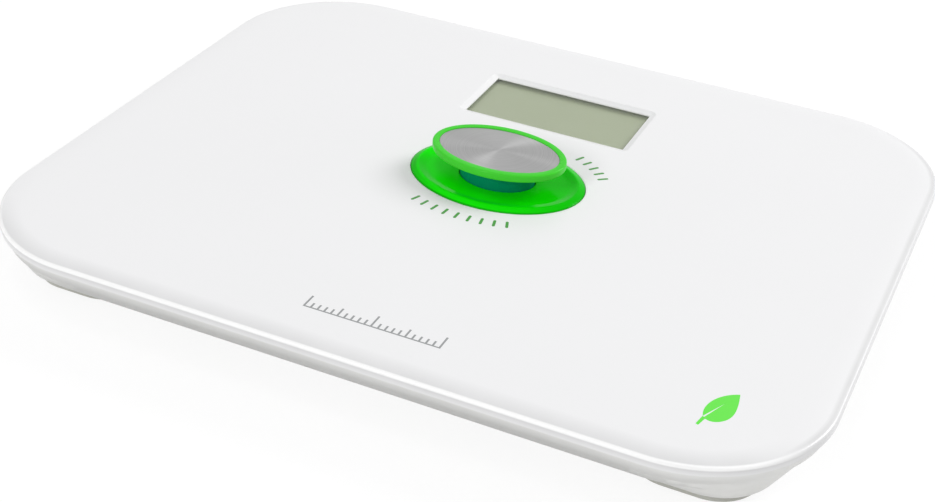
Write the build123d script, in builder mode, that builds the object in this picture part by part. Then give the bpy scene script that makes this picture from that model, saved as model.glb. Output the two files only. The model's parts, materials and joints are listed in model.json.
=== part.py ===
from build123d import *
import os
from math import acos, atan2, ceil, cos, degrees, pi, radians, sin, sqrt, tan

# Bathroom scale with a push-button generator, in millimetres.
# The origin is on the floor below the middle of the platform, +X along the long side,
# +Y towards the display and +Z up.

# Platform
length = 310.0
depth = 251.5
corner_radius = 48.9
top_z = 27.0
skin = 2.5
roll_width = 12.0
roll_drop = 0.8
roll_bend = (4.5, 0.2)
seam_z = 23.0
rim_radius = 1.2
rib_z = 21.5
rib_thickness = 1.6

# Base shell
seam_gap = 0.2
rim_inset_top = 0.5
rim_inset_low = 2.2
rim_low_z = 18.4
belly_inset_top = 4.7
belly_inset_low = 5.3
belly_z = 14.0
floor_skin = 2.2
lip_inset = 2.7
lip_thickness = 1.4
lip_top_z = 24.2

# Corner boots and feet
foot_x = 115.2
foot_y = 84.8
boot_x = 106.8
boot_y = 77.55
boot_half = 45.0
boot_corner = 44.0
boot_low_half = 26.0
boot_low_corner = 20.0
boot_z = 6.0
boot_floor = 2.0
boot_edge_radius = 2.0
boot_inner_half = 42.0
boot_inner_corner = 41.0
boot_inner_low_half = 25.2
boot_inner_low_corner = 19.0
foot_half = 22.0
foot_corner = 16.0
foot_plate_z = 1.4
foot_plate_top = 5.0
foot_hole_radius = 15.0
foot_stem_radius = 14.0
foot_hook_reach = 15.9
foot_hook_z = 8.8
foot_hook_top = 10.0
foot_drop = 0.7
pad_half = 19.0
pad_corner = 13.0
pad_thickness = 1.8

# Load cells
cell_half = 18.0
cell_z = 11.0
cell_thickness = 1.6
cell_window = 24.0
cell_tongue_width = 11.0
cell_tongue_tip = 7.0
retainer_half = 21.0
retainer_height = 3.0
retainer_post_offset = 22.5
retainer_post_radius = 3.2
cell_post_offset = 15.5
cell_post_radius = 2.4

# Display
panel_x = 1.6
display_y = 67.6
window_width = 73.2
window_height = 37.7
bevel_width = 2.2
bevel_depth = 0.9
lens_size = (76.2, 40.4)
lens_thickness = 1.1
lens_gap = 0.2
lcd_size = (75.6, 41.2)
lcd_top_z = 24.3
lcd_thickness = 2.1
board_top_z = 19.3
board_thickness = 1.2
board_size = (92.0, 51.4)
board_y = 64.7
board_boss_x = 43.2
board_boss_y = 18.0

# Push button
button_y = 5.2
dish_a = 34.9
dish_b = 25.9
dish_gap = 0.2
dish_edge_z = 27.15
dish_crest_z = 28.2
dish_bevel = 2.3
dish_crest_inset = 3.0
dish_floor_z = 27.2
dish_floor_inset = 6.4
dish_under_z = 22.3
dish_roof_z = 25.3
dish_wall = 2.0
dish_flange = 3.0
cap_a = 26.7
cap_b = 18.1
cap_top_z = 38.7
cap_thickness = 3.0
cap_edge_radius = 0.7
disc_a = 24.0
disc_b = 15.2
disc_depth = 0.9
disc_thickness = 0.7
neck_a = 15.0
neck_b = 11.2
neck_wall = 1.8
neck_low_z = 14.2
neck_roof = 2.0
travel = 7.6

# Generator train
well_z = 2.0
well_floor = 2.0
well_size = (60.0, 52.0)
well_middle = (1.0, 8.0)
tray_x = (-20.0, 22.0)
tray_y = (-15.0, 31.5)
tray_plate = 1.8
tray_rim_z = 9.8
tray_wall = 1.5
pinion_x = 2.0
pinion_z = 13.4
pinion_module = 0.7
pinion_teeth = 11
pinion_width = 5.0
train_module = 0.4
gear_teeth = 34
spin_teeth = 10
gear_y = 12.0
gear_width = 2.4
generator_y = 17.6
generator_length = 11.8
generator_radius = 6.5
generator_z = 12.6
axle_radius = 1.0
spindle_radius = 0.6
spring_x = 9.9
spring_radius = 2.3
spring_wire = 0.6
spring_turns = 11

# Leads
lead_z = 20.3
lead_radius = 0.9
lead_low_z = 13.7
film_thickness = 0.08

# Values that follow from the dimensions above
under_z = top_z - skin
rim_z = top_z - roll_drop
floor_z = belly_z + floor_skin
cap_low_z = cap_top_z - cap_thickness
neck_roof_z = cap_low_z - neck_roof
tray_z = well_z + well_floor
tray_top = tray_z + tray_plate
board_low_z = board_top_z - board_thickness
shaft_x = panel_x + pinion_x
pinion_radius = pinion_module * pinion_teeth / 2
gear_radius = train_module * gear_teeth / 2
spin_radius = train_module * spin_teeth / 2
gear_distance = gear_radius + spin_radius + 0.03
spin_x = shaft_x + sqrt(gear_distance**2 - (pinion_z - generator_z) ** 2)
feet = {
    "front_left": (-1, -1),
    "front_right": (1, -1),
    "rear_left": (-1, 1),
    "rear_right": (1, 1),
}


def keep(builder, node):
    """Label a finished piece and write it under its node name."""
    builder.part.label = node
    export_step(builder.part, f"parts/{node}.step")


def plan(inset=0.0):
    """Rounded outline of the platform, drawn in by an inset."""
    RectangleRounded(length - 2 * inset, depth - 2 * inset, corner_radius - inset)


def upright(y):
    """Plane that faces -Y at a depth y, with its own x along +X and its y along +Z."""
    return Plane.XZ.offset(-y)


def wall_reach(offset, across, along, inset):
    """Half length of a straight rib at an offset from the middle, up to the inner wall."""
    radius = corner_radius - inset
    rise = offset - (across / 2 - inset - radius)
    reach = along / 2 - inset
    if rise > 0:
        reach += sqrt(radius**2 - rise**2) - radius
    return reach


def spans(reach, blocked):
    """Stretches of a line from -reach to reach that stay outside a blocked stretch."""
    if blocked is None:
        return [(-reach, reach)]
    return [(-reach, blocked[0]), (blocked[1], reach)]


os.makedirs("parts", exist_ok=True)

# Shapes of the prints, films set flush into the platform: a plain leaf, a row of graduation ticks and
# dashes round the dish
film_z = top_z - film_thickness
leaf_base = (117.0, -99.6)
leaf_tip = (124.2, -83.3)
leaf_left = [(116.3, -93.6), (119.0, -87.4)]
leaf_right = [(125.4, -91.4), (124.0, -97.9), (120.4, -100.6)]
leaf_stem = (116.4, -104.1)
vein_half = 0.35
vein_end = 0.6
with BuildSketch(Plane.XY.offset(film_z)) as leaf_shape:
    with BuildLine():
        Spline(leaf_base, *leaf_left, leaf_tip)
        Spline(leaf_tip, *leaf_right, leaf_base)
    make_face()
    along = Vector(leaf_tip[0] - leaf_base[0], leaf_tip[1] - leaf_base[1])
    across = Vector(-along.Y, along.X).normalized() * vein_half
    vein_tip = Vector(*leaf_base) + along * vein_end
    start = Vector(*leaf_base) - along.normalized()
    with BuildLine():
        Polyline(
            (start.X - across.X, start.Y - across.Y),
            (vein_tip.X, vein_tip.Y),
            (start.X + across.X, start.Y + across.Y),
            close=True,
        )
    make_face(mode=Mode.SUBTRACT)
    with BuildLine():
        Polyline(
            (leaf_base[0] - 0.2, leaf_base[1] + 0.4),
            (leaf_stem[0] - 0.4, leaf_stem[1] + 0.3),
            (leaf_stem[0] + 0.5, leaf_stem[1] - 0.1),
            (leaf_base[0] + 1.0, leaf_base[1] - 0.3),
            close=True,
        )
    make_face()

tick_count = 21
tick_step = 2.5
tick_middle = (5.2, -106.2)
tick_lengths = {0: 6.4, 5: 4.6}
short_tick = 2.8
tick_width = 0.7
tick_line = 0.6
tick_row_width = (tick_count - 1) * tick_step + tick_width
with BuildSketch(Plane.XY.offset(film_z)) as graduation_shape:
    with Locations((tick_middle[0], tick_middle[1])):
        Rectangle(tick_row_width, tick_line)
    for tick in range(tick_count):
        tall = tick_lengths.get(tick % 10, short_tick)
        x = tick_middle[0] + (tick - (tick_count - 1) / 2) * tick_step
        with Locations((x, tick_middle[1] + tall / 2)):
            Rectangle(tick_width, tall)

dash_gap = 8.0
dash_size = (1.1, 4.4)
dash_angles = [-118.0 + 6.5 * step for step in range(9)] + [32.0 + 6.5 * step for step in range(5)]
with BuildSketch(Plane.XY.offset(film_z)) as dash_shape:
    for angle in dash_angles:
        place_x = panel_x + (dish_a + dash_gap) * cos(radians(angle))
        place_y = button_y + (dish_b + dash_gap) * sin(radians(angle))
        across_x = (dish_b + dash_gap) * cos(radians(angle))
        across_y = (dish_a + dash_gap) * sin(radians(angle))
        facing = degrees(atan2(across_y, across_x))
        with Locations(Location((place_x, place_y, 0), (0, 0, facing + 90))):
            SlotOverall(dash_size[1], dash_size[0], rotation=90)

# Platform: one moulded shell with a rolled edge, ribs and screw bosses below
display_zone = (panel_x - 52.0, panel_x + 52.0)
rib_inset = lip_inset + lip_thickness + 0.9
rib_rows = {-100.0: None, -70.0: None, -40.0: None, 100.0: None}
rib_rows |= {y: display_zone for y in (-5.0, 30.0, 65.0)}
rib_columns = (66.0, 100.0, 134.0)
short_columns = (-33.0, 0.0, 33.0)
short_column_end = -32.0
housing_screws_at = [(58.0, 104.0), (-58.0, 104.0), (58.0, -104.0), (-58.0, -104.0)]
housing_screws_at += [(132.0, 0.0), (-132.0, 0.0), (0.0, -104.0), (0.0, 104.0)]
housing_boss_z = 18.3
housing_boss_radius = 4.0
housing_hole_radius = 1.45
board_screws_at = [
    (panel_x + i * board_boss_x, display_y + j * board_boss_y) for i in (-1, 1) for j in (-1, 1)
]
board_boss_radius = 2.6
board_hole_radius = 1.15

with BuildPart() as platform:
    with BuildSketch(Plane.XY.offset(seam_z)):
        plan()
    extrude(amount=rim_z - seam_z)
    with BuildSketch(Plane.XY.offset(rim_z)):
        plan()
    with BuildSketch(Plane.XY.offset(top_z - roll_bend[1])):
        plan(roll_bend[0])
    with BuildSketch(Plane.XY.offset(top_z)):
        plan(roll_width)
    loft(ruled=True)
    rim_edges = platform.edges().filter_by_position(Axis.Z, rim_z - 0.01, rim_z + 0.01)
    fillet(rim_edges, rim_radius)
    with BuildSketch(Plane.XY.offset(seam_z)):
        plan(skin)
    extrude(amount=under_z - seam_z, mode=Mode.SUBTRACT)
    with BuildSketch(Plane.XY.offset(rib_z)):
        for y, blocked in rib_rows.items():
            for start, end in spans(wall_reach(abs(y), depth, length, rib_inset), blocked):
                with Locations(((start + end) / 2, y)):
                    Rectangle(end - start, rib_thickness)
        for column in rib_columns:
            reach = wall_reach(column, length, depth, rib_inset)
            with Locations((column, 0), (-column, 0)):
                Rectangle(rib_thickness, 2 * reach)
        start = -wall_reach(0, length, depth, rib_inset)
        for column in short_columns:
            with Locations((column, (start + short_column_end) / 2)):
                Rectangle(rib_thickness, short_column_end - start)
    extrude(amount=under_z - rib_z)
    with BuildSketch(Plane.XY.offset(housing_boss_z)):
        with Locations(*housing_screws_at):
            Circle(housing_boss_radius)
    extrude(amount=under_z - housing_boss_z)
    with BuildSketch(Plane.XY.offset(housing_boss_z)):
        with Locations(*housing_screws_at):
            Circle(housing_hole_radius)
    extrude(amount=5.5, mode=Mode.SUBTRACT)
    with BuildSketch(Plane.XY.offset(board_top_z)):
        with Locations(*board_screws_at):
            Circle(board_boss_radius)
    extrude(amount=under_z - board_top_z)
    with BuildSketch(Plane.XY.offset(board_top_z)):
        with Locations(*board_screws_at):
            Circle(board_hole_radius)
    extrude(amount=4.2, mode=Mode.SUBTRACT)
    with BuildSketch(Plane.XY.offset(top_z)):
        with Locations((panel_x, display_y)):
            RectangleRounded(window_width, window_height, 2.5)
    with BuildSketch(Plane.XY.offset(top_z - bevel_depth)):
        with Locations((panel_x, display_y)):
            RectangleRounded(window_width - 2 * bevel_width, window_height - 2 * bevel_width, 0.8)
    loft(ruled=True, mode=Mode.SUBTRACT)
    with BuildSketch(Plane.XY.offset(under_z - 1.0)):
        with Locations((panel_x, display_y)):
            RectangleRounded(window_width - 2 * bevel_width, window_height - 2 * bevel_width, 0.8)
    extrude(amount=skin - bevel_depth + 1.0, mode=Mode.SUBTRACT)
    with BuildSketch(Plane.XY.offset(under_z)):
        with Locations((panel_x, display_y)):
            RectangleRounded(lens_size[0] + 2 * lens_gap, lens_size[1] + 2 * lens_gap, 1.7)
    extrude(amount=lens_thickness, mode=Mode.SUBTRACT)
    with BuildSketch(Plane.XY.offset(under_z - 1.0)):
        with Locations((panel_x, button_y)):
            Ellipse(dish_a, dish_b)
    extrude(amount=skin + 2.0, mode=Mode.SUBTRACT)
    for shape in (leaf_shape, graduation_shape, dash_shape):
        extrude(shape.sketch, amount=film_thickness, mode=Mode.SUBTRACT)
keep(platform, "platform")

# Base shell: shallow tray with a drawn-in rim, four corner boots and a well under the button
belly_inner_inset = belly_inset_top + floor_skin
rim_floor_z = rim_low_z + 2.0
screw_pad_radius = 5.0
screw_pad_top = 18.2
screw_head_radius = 3.2
screw_shank_gap = 1.7
foot_spots = [(foot_x * i, foot_y * j) for i, j in feet.values()]
retainer_screws_at = [
    (x, y + retainer_post_offset * side) for x, y in foot_spots for side in (-1, 1)
]
cell_posts_at = [
    (x + cell_post_offset * i, y + cell_post_offset * j)
    for x, y in foot_spots
    for i in (-1, 1)
    for j in (-1, 1)
]
tray_ears_at = [(panel_x + x, button_y + y) for x in (-23.2, 25.2) for y in (-8.0, 24.0)]
ear_z = 8.0
ear_boss_radius = 3.2
well_low_size = (well_size[0] - 3.0, well_size[1] - 3.0)
well_x, well_y = panel_x + well_middle[0], button_y + well_middle[1]


def lead_points(side, end):
    """Route of a load cell's lead, from its gauge to the edge of the main board."""
    route = [(foot_x + 0.9, foot_y, lead_low_z), (90.5, foot_y, lead_low_z), (77.0, 74.5, 19.2)]
    if end < 0:
        route += [(68.0, 60.0, lead_z), (66.0, 40.0, lead_z), (69.0, 16.0, lead_z)]
        route += [(68.0, -10.0, lead_z), (60.0, -30.0, lead_z)]
        strip = [(48.0, 40.6, lead_z), (36.0, 40.8, lead_z)]
    else:
        route += [(66.0, 62.0, lead_z), (59.0, 47.5, lead_z)]
        strip = [(47.5, 43.4, lead_z), (36.0, 43.2, lead_z)]
    route = [(side * x, end * y, z) for x, y, z in route]
    return route + [(panel_x + side * x, y, z) for x, y, z in strip]


def route_radii(points):
    """Arc radius at each inner point, 0.45 of the shorter run over the tangent of half the turn."""
    radii = []
    for before, here, after in zip(points, points[1:], points[2:]):
        into = Vector(*here) - Vector(*before)
        out = Vector(*after) - Vector(*here)
        half_turn = radians(into.get_angle(out)) / 2
        radii.append(0.45 * min(into.length, out.length) / tan(half_turn))
    return radii


clip_height = 0.5
clip_spots = []
for side, end in feet.values():
    run = lead_points(side, end)
    for a, b in zip(run[3:-3], run[4:-2]):
        middle = ((a[0] + b[0]) / 2, (a[1] + b[1]) / 2)
        clip_spots.append((middle, degrees(atan2(b[1] - a[1], b[0] - a[0]))))

with BuildPart() as base_shell:
    with BuildSketch(Plane.XY.offset(rim_low_z)):
        plan(rim_inset_low)
    with BuildSketch(Plane.XY.offset(seam_z - seam_gap)):
        plan(rim_inset_top)
    loft(ruled=True)
    with BuildSketch(Plane.XY.offset(belly_z)):
        plan(belly_inset_low)
    with BuildSketch(Plane.XY.offset(rim_low_z)):
        plan(belly_inset_top)
    loft(ruled=True)
    for i, j in feet.values():
        with BuildSketch(Plane.XY.offset(boot_z)):
            with Locations((foot_x * i, foot_y * j)):
                RectangleRounded(2 * boot_low_half, 2 * boot_low_half, boot_low_corner)
        with BuildSketch(Plane.XY.offset(rim_low_z)):
            with Locations((boot_x * i, boot_y * j)):
                RectangleRounded(2 * boot_half, 2 * boot_half, boot_corner)
        loft(ruled=True)
    boot_edges = base_shell.edges().filter_by_position(Axis.Z, boot_z - 0.01, boot_z + 0.01)
    fillet(boot_edges, boot_edge_radius)
    with BuildSketch(Plane.XY.offset(well_z)):
        with Locations((well_x, well_y)):
            RectangleRounded(well_low_size[0] + 4.0, well_low_size[1] + 4.0, 8.0)
    with BuildSketch(Plane.XY.offset(belly_z)):
        with Locations((well_x, well_y)):
            RectangleRounded(well_size[0] + 4.0, well_size[1] + 4.0, 9.5)
    loft(ruled=True)
    with BuildSketch(Plane.XY.offset(rim_floor_z)):
        plan(rim_inset_low + 1.6)
    with BuildSketch(Plane.XY.offset(seam_z)):
        plan(rim_inset_top + 2.0)
    loft(ruled=True, mode=Mode.SUBTRACT)
    with BuildSketch(Plane.XY.offset(floor_z)):
        plan(belly_inner_inset)
    extrude(amount=seam_z - floor_z, mode=Mode.SUBTRACT)
    for i, j in feet.values():
        with BuildSketch(Plane.XY.offset(boot_z + boot_floor)):
            with Locations((foot_x * i, foot_y * j)):
                width = 2 * boot_inner_low_half
                RectangleRounded(width, width, boot_inner_low_corner)
        with BuildSketch(Plane.XY.offset(rim_floor_z)):
            with Locations((boot_x * i, boot_y * j)):
                RectangleRounded(2 * boot_inner_half, 2 * boot_inner_half, boot_inner_corner)
        loft(ruled=True, mode=Mode.SUBTRACT)
    with BuildSketch(Plane.XY.offset(well_z + well_floor)):
        with Locations((well_x, well_y)):
            RectangleRounded(well_low_size[0], well_low_size[1], 6.0)
    with BuildSketch(Plane.XY.offset(floor_z)):
        with Locations((well_x, well_y)):
            RectangleRounded(well_size[0], well_size[1], 7.5)
    loft(ruled=True, mode=Mode.SUBTRACT)
    with BuildSketch(Plane.XY.offset(rim_floor_z)):
        plan(lip_inset)
        plan_inner = lip_inset + lip_thickness
        RectangleRounded(
            length - 2 * plan_inner,
            depth - 2 * plan_inner,
            corner_radius - plan_inner,
            mode=Mode.SUBTRACT,
        )
    extrude(amount=lip_top_z - rim_floor_z)
    with BuildSketch(Plane.XY.offset(floor_z)):
        with Locations(*housing_screws_at):
            Circle(screw_pad_radius)
    extrude(amount=screw_pad_top - floor_z)
    with BuildSketch(Plane.XY.offset(belly_z)):
        with Locations(*housing_screws_at):
            Circle(screw_head_radius)
    extrude(amount=floor_skin, mode=Mode.SUBTRACT)
    with BuildSketch(Plane.XY.offset(belly_z)):
        with Locations(*housing_screws_at):
            Circle(screw_shank_gap)
    extrude(amount=6.0, mode=Mode.SUBTRACT)
    with BuildSketch(Plane.XY.offset(boot_z - 1.0)):
        with Locations(*foot_spots):
            Circle(foot_hole_radius)
    extrude(amount=boot_floor + 2.0, mode=Mode.SUBTRACT)
    with BuildSketch(Plane.XY.offset(boot_z + boot_floor - 0.5)):
        with Locations(*cell_posts_at):
            Circle(cell_post_radius)
    extrude(amount=cell_z - boot_z - boot_floor + 0.5)
    with BuildSketch(Plane.XY.offset(boot_z + boot_floor - 0.5)):
        with Locations(*retainer_screws_at):
            Circle(retainer_post_radius)
    extrude(amount=cell_z + cell_thickness - boot_z - boot_floor + 0.5)
    with BuildSketch(Plane.XY.offset(boot_z + boot_floor + 0.8)):
        with Locations(*retainer_screws_at):
            Circle(1.3)
    extrude(amount=6.0, mode=Mode.SUBTRACT)
    with BuildSketch(Plane.XY.offset(tray_z - 0.5)):
        with Locations(*tray_ears_at):
            Circle(ear_boss_radius)
    extrude(amount=ear_z - tray_z + 0.5)
    with BuildSketch(Plane.XY.offset(tray_z + 0.4)):
        with Locations(*tray_ears_at):
            Circle(1.1)
    extrude(amount=6.0, mode=Mode.SUBTRACT)
    with BuildSketch(Plane.XY.offset(floor_z - 0.5)):
        for spot, angle in clip_spots:
            with Locations(Location((spot[0], spot[1], 0), (0, 0, angle))):
                Rectangle(3.0, 4.6)
    extrude(amount=lead_z + clip_height - floor_z + 0.5)
    for spot, angle in clip_spots:
        with Locations(Location((spot[0], spot[1], lead_z), (0, 0, angle))):
            Cylinder(lead_radius + 0.1, 8.0, rotation=(0, 90, 0), mode=Mode.SUBTRACT)
            with Locations((0, 0, 1.0)):
                Box(8.0, 2 * lead_radius, 2.0, mode=Mode.SUBTRACT)
keep(base_shell, "base_shell")

# Display: clear window in its recess, liquid crystal panel, backing foil, carrier and rubber connectors
with BuildPart() as display_window:
    with BuildSketch(Plane.XY.offset(under_z)):
        with Locations((panel_x, display_y)):
            RectangleRounded(*lens_size, 1.5)
    extrude(amount=lens_thickness)
keep(display_window, "display_window")

with BuildPart() as lcd_panel:
    with BuildSketch(Plane.XY.offset(lcd_top_z - lcd_thickness)):
        with Locations((panel_x, display_y)):
            Rectangle(*lcd_size)
    extrude(amount=lcd_thickness / 2)
    with BuildSketch(Plane.XY.offset(lcd_top_z - lcd_thickness / 2)):
        with Locations((panel_x, display_y)):
            Rectangle(lcd_size[0], lcd_size[1] - 3.0)
    extrude(amount=lcd_thickness / 2)
keep(lcd_panel, "lcd_panel")

backing_size = (73.0, 32.6)
with BuildPart() as lcd_backing:
    with BuildSketch(Plane.XY.offset(lcd_top_z - lcd_thickness - 0.3)):
        with Locations((panel_x, display_y)):
            Rectangle(*backing_size)
    extrude(amount=0.3)
keep(lcd_backing, "lcd_backing")

strip_height = lcd_top_z - lcd_thickness - board_top_z
with BuildPart() as zebra_strips:
    for row in (-1, 1):
        with Locations((panel_x, display_y + row * 18.3, board_top_z + strip_height / 2)):
            Box(70.0, 2.2, strip_height)
keep(zebra_strips, "zebra_strips")

with BuildPart() as lcd_frame:
    with BuildSketch(Plane.XY.offset(board_top_z)):
        with Locations((panel_x, display_y)):
            RectangleRounded(lcd_size[0] + 4.4, lcd_size[1] + 4.4, 2.0)
            Rectangle(lcd_size[0] + 0.4, lcd_size[1] + 0.4, mode=Mode.SUBTRACT)
    extrude(amount=under_z - board_top_z)
keep(lcd_frame, "lcd_frame")

# Main board with its parts and screws
with BuildPart() as main_board:
    with BuildSketch(Plane.XY.offset(board_low_z)):
        with Locations((panel_x, board_y)):
            RectangleRounded(*board_size, 1.5)
        with Locations(*board_screws_at):
            Circle(board_hole_radius, mode=Mode.SUBTRACT)
    extrude(amount=board_thickness)
keep(main_board, "main_board")

chip_radius = 5.0
with BuildPart() as controller_chip:
    with BuildSketch(Plane.XY.offset(board_low_z)):
        with Locations((panel_x, display_y)):
            Circle(chip_radius)
    extrude(amount=-1.2)
    fillet(controller_chip.faces().sort_by(Axis.Z)[0].edges(), 0.9)
keep(controller_chip, "controller_chip")

capacitor_radius = 2.45
capacitor_length = 12.0
part_row_y = 42.0
with BuildPart() as storage_capacitors:
    for x in (-28.0, -14.0):
        with Locations((panel_x + x + 6.0, part_row_y, board_top_z + capacitor_radius)):
            Cylinder(capacitor_radius, capacitor_length, rotation=(0, 90, 0))
    fillet(storage_capacitors.edges().filter_by(GeomType.CIRCLE), 0.5)
keep(storage_capacitors, "storage_capacitors")

diode_radius = 0.9
with BuildPart() as rectifier_diodes:
    for x in (16.5, 20.5, 24.5, 28.5):
        with Locations((panel_x + x, part_row_y, board_top_z + diode_radius)):
            Cylinder(diode_radius, 3.6, rotation=(90, 0, 0))
keep(rectifier_diodes, "rectifier_diodes")

with BuildPart() as board_screws:
    with BuildSketch(Plane.XY.offset(board_low_z - 1.3)):
        with Locations(*board_screws_at):
            Circle(2.1)
    extrude(amount=1.3)
    with BuildSketch(Plane.XY.offset(board_low_z)):
        with Locations(*board_screws_at):
            Circle(board_hole_radius - 0.05)
    extrude(amount=board_thickness + 3.8)
keep(board_screws, "board_screws")

# Button: oval dish in the platform, mushroom cap with a metal disc, and its neck
dish_body_a = dish_a - dish_gap
dish_body_b = dish_b - dish_gap
neck_gap = 0.3
guide = neck_gap + 1.8
with BuildPart() as button_dish:
    with BuildSketch(Plane.XY.offset(dish_under_z)):
        with Locations((panel_x, button_y)):
            Ellipse(dish_body_a, dish_body_b)
    extrude(amount=dish_edge_z - dish_under_z)
    with BuildSketch(Plane.XY.offset(dish_edge_z)):
        with Locations((panel_x, button_y)):
            Ellipse(dish_body_a, dish_body_b)
    with BuildSketch(Plane.XY.offset(dish_crest_z)):
        with Locations((panel_x, button_y)):
            Ellipse(dish_body_a - dish_bevel, dish_body_b - dish_bevel)
    loft(ruled=True)
    with BuildSketch(Plane.XY.offset(under_z - 1.6)):
        with Locations((panel_x, button_y)):
            Ellipse(dish_a + dish_flange, dish_b + dish_flange)
    extrude(amount=1.5)
    with BuildSketch(Plane.XY.offset(dish_floor_z)):
        with Locations((panel_x, button_y)):
            Ellipse(dish_body_a - dish_floor_inset, dish_body_b - dish_floor_inset)
    with BuildSketch(Plane.XY.offset(dish_crest_z)):
        with Locations((panel_x, button_y)):
            Ellipse(dish_body_a - dish_crest_inset, dish_body_b - dish_crest_inset)
    loft(ruled=True, mode=Mode.SUBTRACT)
    with BuildSketch(Plane.XY.offset(dish_under_z)):
        with Locations((panel_x, button_y)):
            Ellipse(dish_body_a - dish_wall, dish_body_b - dish_wall)
            Ellipse(neck_a + guide, neck_b + guide, mode=Mode.SUBTRACT)
    extrude(amount=dish_roof_z - dish_under_z, mode=Mode.SUBTRACT)
    with BuildSketch(Plane.XY.offset(dish_under_z)):
        with Locations((panel_x, button_y)):
            Ellipse(neck_a + neck_gap, neck_b + neck_gap)
    extrude(amount=dish_crest_z - dish_under_z, mode=Mode.SUBTRACT)
keep(button_dish, "button_dish")

plunger_screws_at = [(panel_x + 3.5, button_y + side * 2.2) for side in (-1, 1)]
plunger_screw_tip = cap_low_z + 1.6
with BuildPart() as button_cap:
    with BuildSketch(Plane.XY.offset(cap_low_z)):
        with Locations((panel_x, button_y)):
            Ellipse(cap_a, cap_b)
    extrude(amount=cap_thickness)
    fillet(button_cap.edges(), cap_edge_radius)
    with BuildSketch(Plane.XY.offset(cap_top_z - disc_depth)):
        with Locations((panel_x, button_y)):
            Ellipse(disc_a, disc_b)
    extrude(amount=disc_depth + 1.0, mode=Mode.SUBTRACT)
    with BuildSketch(Plane.XY.offset(cap_low_z)):
        with Locations(*plunger_screws_at):
            Circle(0.95)
    extrude(amount=plunger_screw_tip - cap_low_z, mode=Mode.SUBTRACT)
keep(button_cap, "button_cap")

with BuildPart() as button_disc:
    with BuildSketch(Plane.XY.offset(cap_top_z - disc_depth)):
        with Locations((panel_x, button_y)):
            Ellipse(disc_a - 0.05, disc_b - 0.05)
    extrude(amount=disc_thickness)
keep(button_disc, "button_disc")

post_width = 4.8
slot_width = post_width + 0.8
post_top_z = pinion_z + axle_radius + 1.0
slot_top_z = post_top_z + travel + 0.3
post_inner_y = 8.9
post_outer_y = 11.5
pin_radius = 1.6
with BuildPart() as button_neck:
    with BuildSketch(Plane.XY.offset(neck_low_z)):
        with Locations((panel_x, button_y)):
            Ellipse(neck_a, neck_b)
    extrude(amount=cap_low_z - neck_low_z)
    with BuildSketch(Plane.XY.offset(neck_low_z)):
        with Locations((panel_x, button_y)):
            Ellipse(neck_a - neck_wall, neck_b - neck_wall)
    extrude(amount=neck_roof_z - neck_low_z, mode=Mode.SUBTRACT)
    with BuildSketch(Plane.XY.offset(neck_low_z)):
        for side in (-1, 1):
            with Locations((shaft_x, button_y + side * 10.5)):
                Rectangle(slot_width, 5.0)
    extrude(amount=slot_top_z - neck_low_z, mode=Mode.SUBTRACT)
    with BuildSketch(Plane.XY.offset(neck_roof_z - 4.0)):
        with Locations((panel_x - spring_x, button_y), (panel_x + spring_x, button_y)):
            Circle(pin_radius)
    extrude(amount=4.0)
    with BuildSketch(Plane.XY.offset(neck_roof_z)):
        with Locations(*plunger_screws_at):
            Circle(0.95)
    extrude(amount=neck_roof, mode=Mode.SUBTRACT)
keep(button_neck, "button_neck")

# Rack on the plunger: teeth face +X, and a gap lies level with the pinion's axis at rest
pressure_angle = radians(20)
rack_pitch_x = shaft_x - pinion_radius
rack_pitch = pi * pinion_module
rack_thinning = 0.05
rack_addendum = 0.6 * pinion_module
rack_dedendum = pinion_module
rack_back_x = panel_x - 6.0
rack_half_width = 2.5
rack_teeth = 6
rack_low_z = pinion_z - rack_pitch / 2
rack_flange_half = (6.0, 4.0)
rack_flange_height = 2.0


def rack_outline():
    """Side view of the rack, from its lowest tooth up and round its back."""
    half_pitch_width = rack_pitch / 4 - rack_thinning
    tip_x = rack_pitch_x + rack_addendum
    root_x = rack_pitch_x - rack_dedendum
    half_tip = half_pitch_width - rack_addendum * tan(pressure_angle)
    half_root = half_pitch_width + rack_dedendum * tan(pressure_angle)
    points = [(rack_back_x, rack_low_z), (tip_x, rack_low_z)]
    for tooth in range(rack_teeth):
        middle = rack_low_z + tooth * rack_pitch
        if tooth > 0:
            points += [(root_x, middle - half_root), (tip_x, middle - half_tip)]
        points += [(tip_x, middle + half_tip), (root_x, middle + half_root)]
    return points + [(root_x, neck_roof_z - 0.5), (rack_back_x, neck_roof_z - 0.5)]


with BuildPart() as plunger_rack:
    with BuildSketch(upright(button_y - rack_half_width)):
        with BuildLine():
            Polyline(*rack_outline(), close=True)
        make_face()
    extrude(amount=-2 * rack_half_width)
    with BuildSketch(Plane.XY.offset(neck_roof_z - rack_flange_height)):
        with Locations((panel_x, button_y)):
            Rectangle(2 * rack_flange_half[0], 2 * rack_flange_half[1])
        with Locations(*plunger_screws_at):
            Circle(0.95, mode=Mode.SUBTRACT)
    extrude(amount=rack_flange_height)
keep(plunger_rack, "plunger_rack")

with BuildPart() as plunger_screws:
    with BuildSketch(Plane.XY.offset(neck_roof_z - rack_flange_height - 1.2)):
        with Locations(*plunger_screws_at):
            Circle(1.7)
    extrude(amount=1.2)
    with BuildSketch(Plane.XY.offset(neck_roof_z - rack_flange_height)):
        with Locations(*plunger_screws_at):
            Circle(0.9)
    extrude(amount=plunger_screw_tip - neck_roof_z + rack_flange_height - 0.1)
keep(plunger_screws, "plunger_screws")

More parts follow.
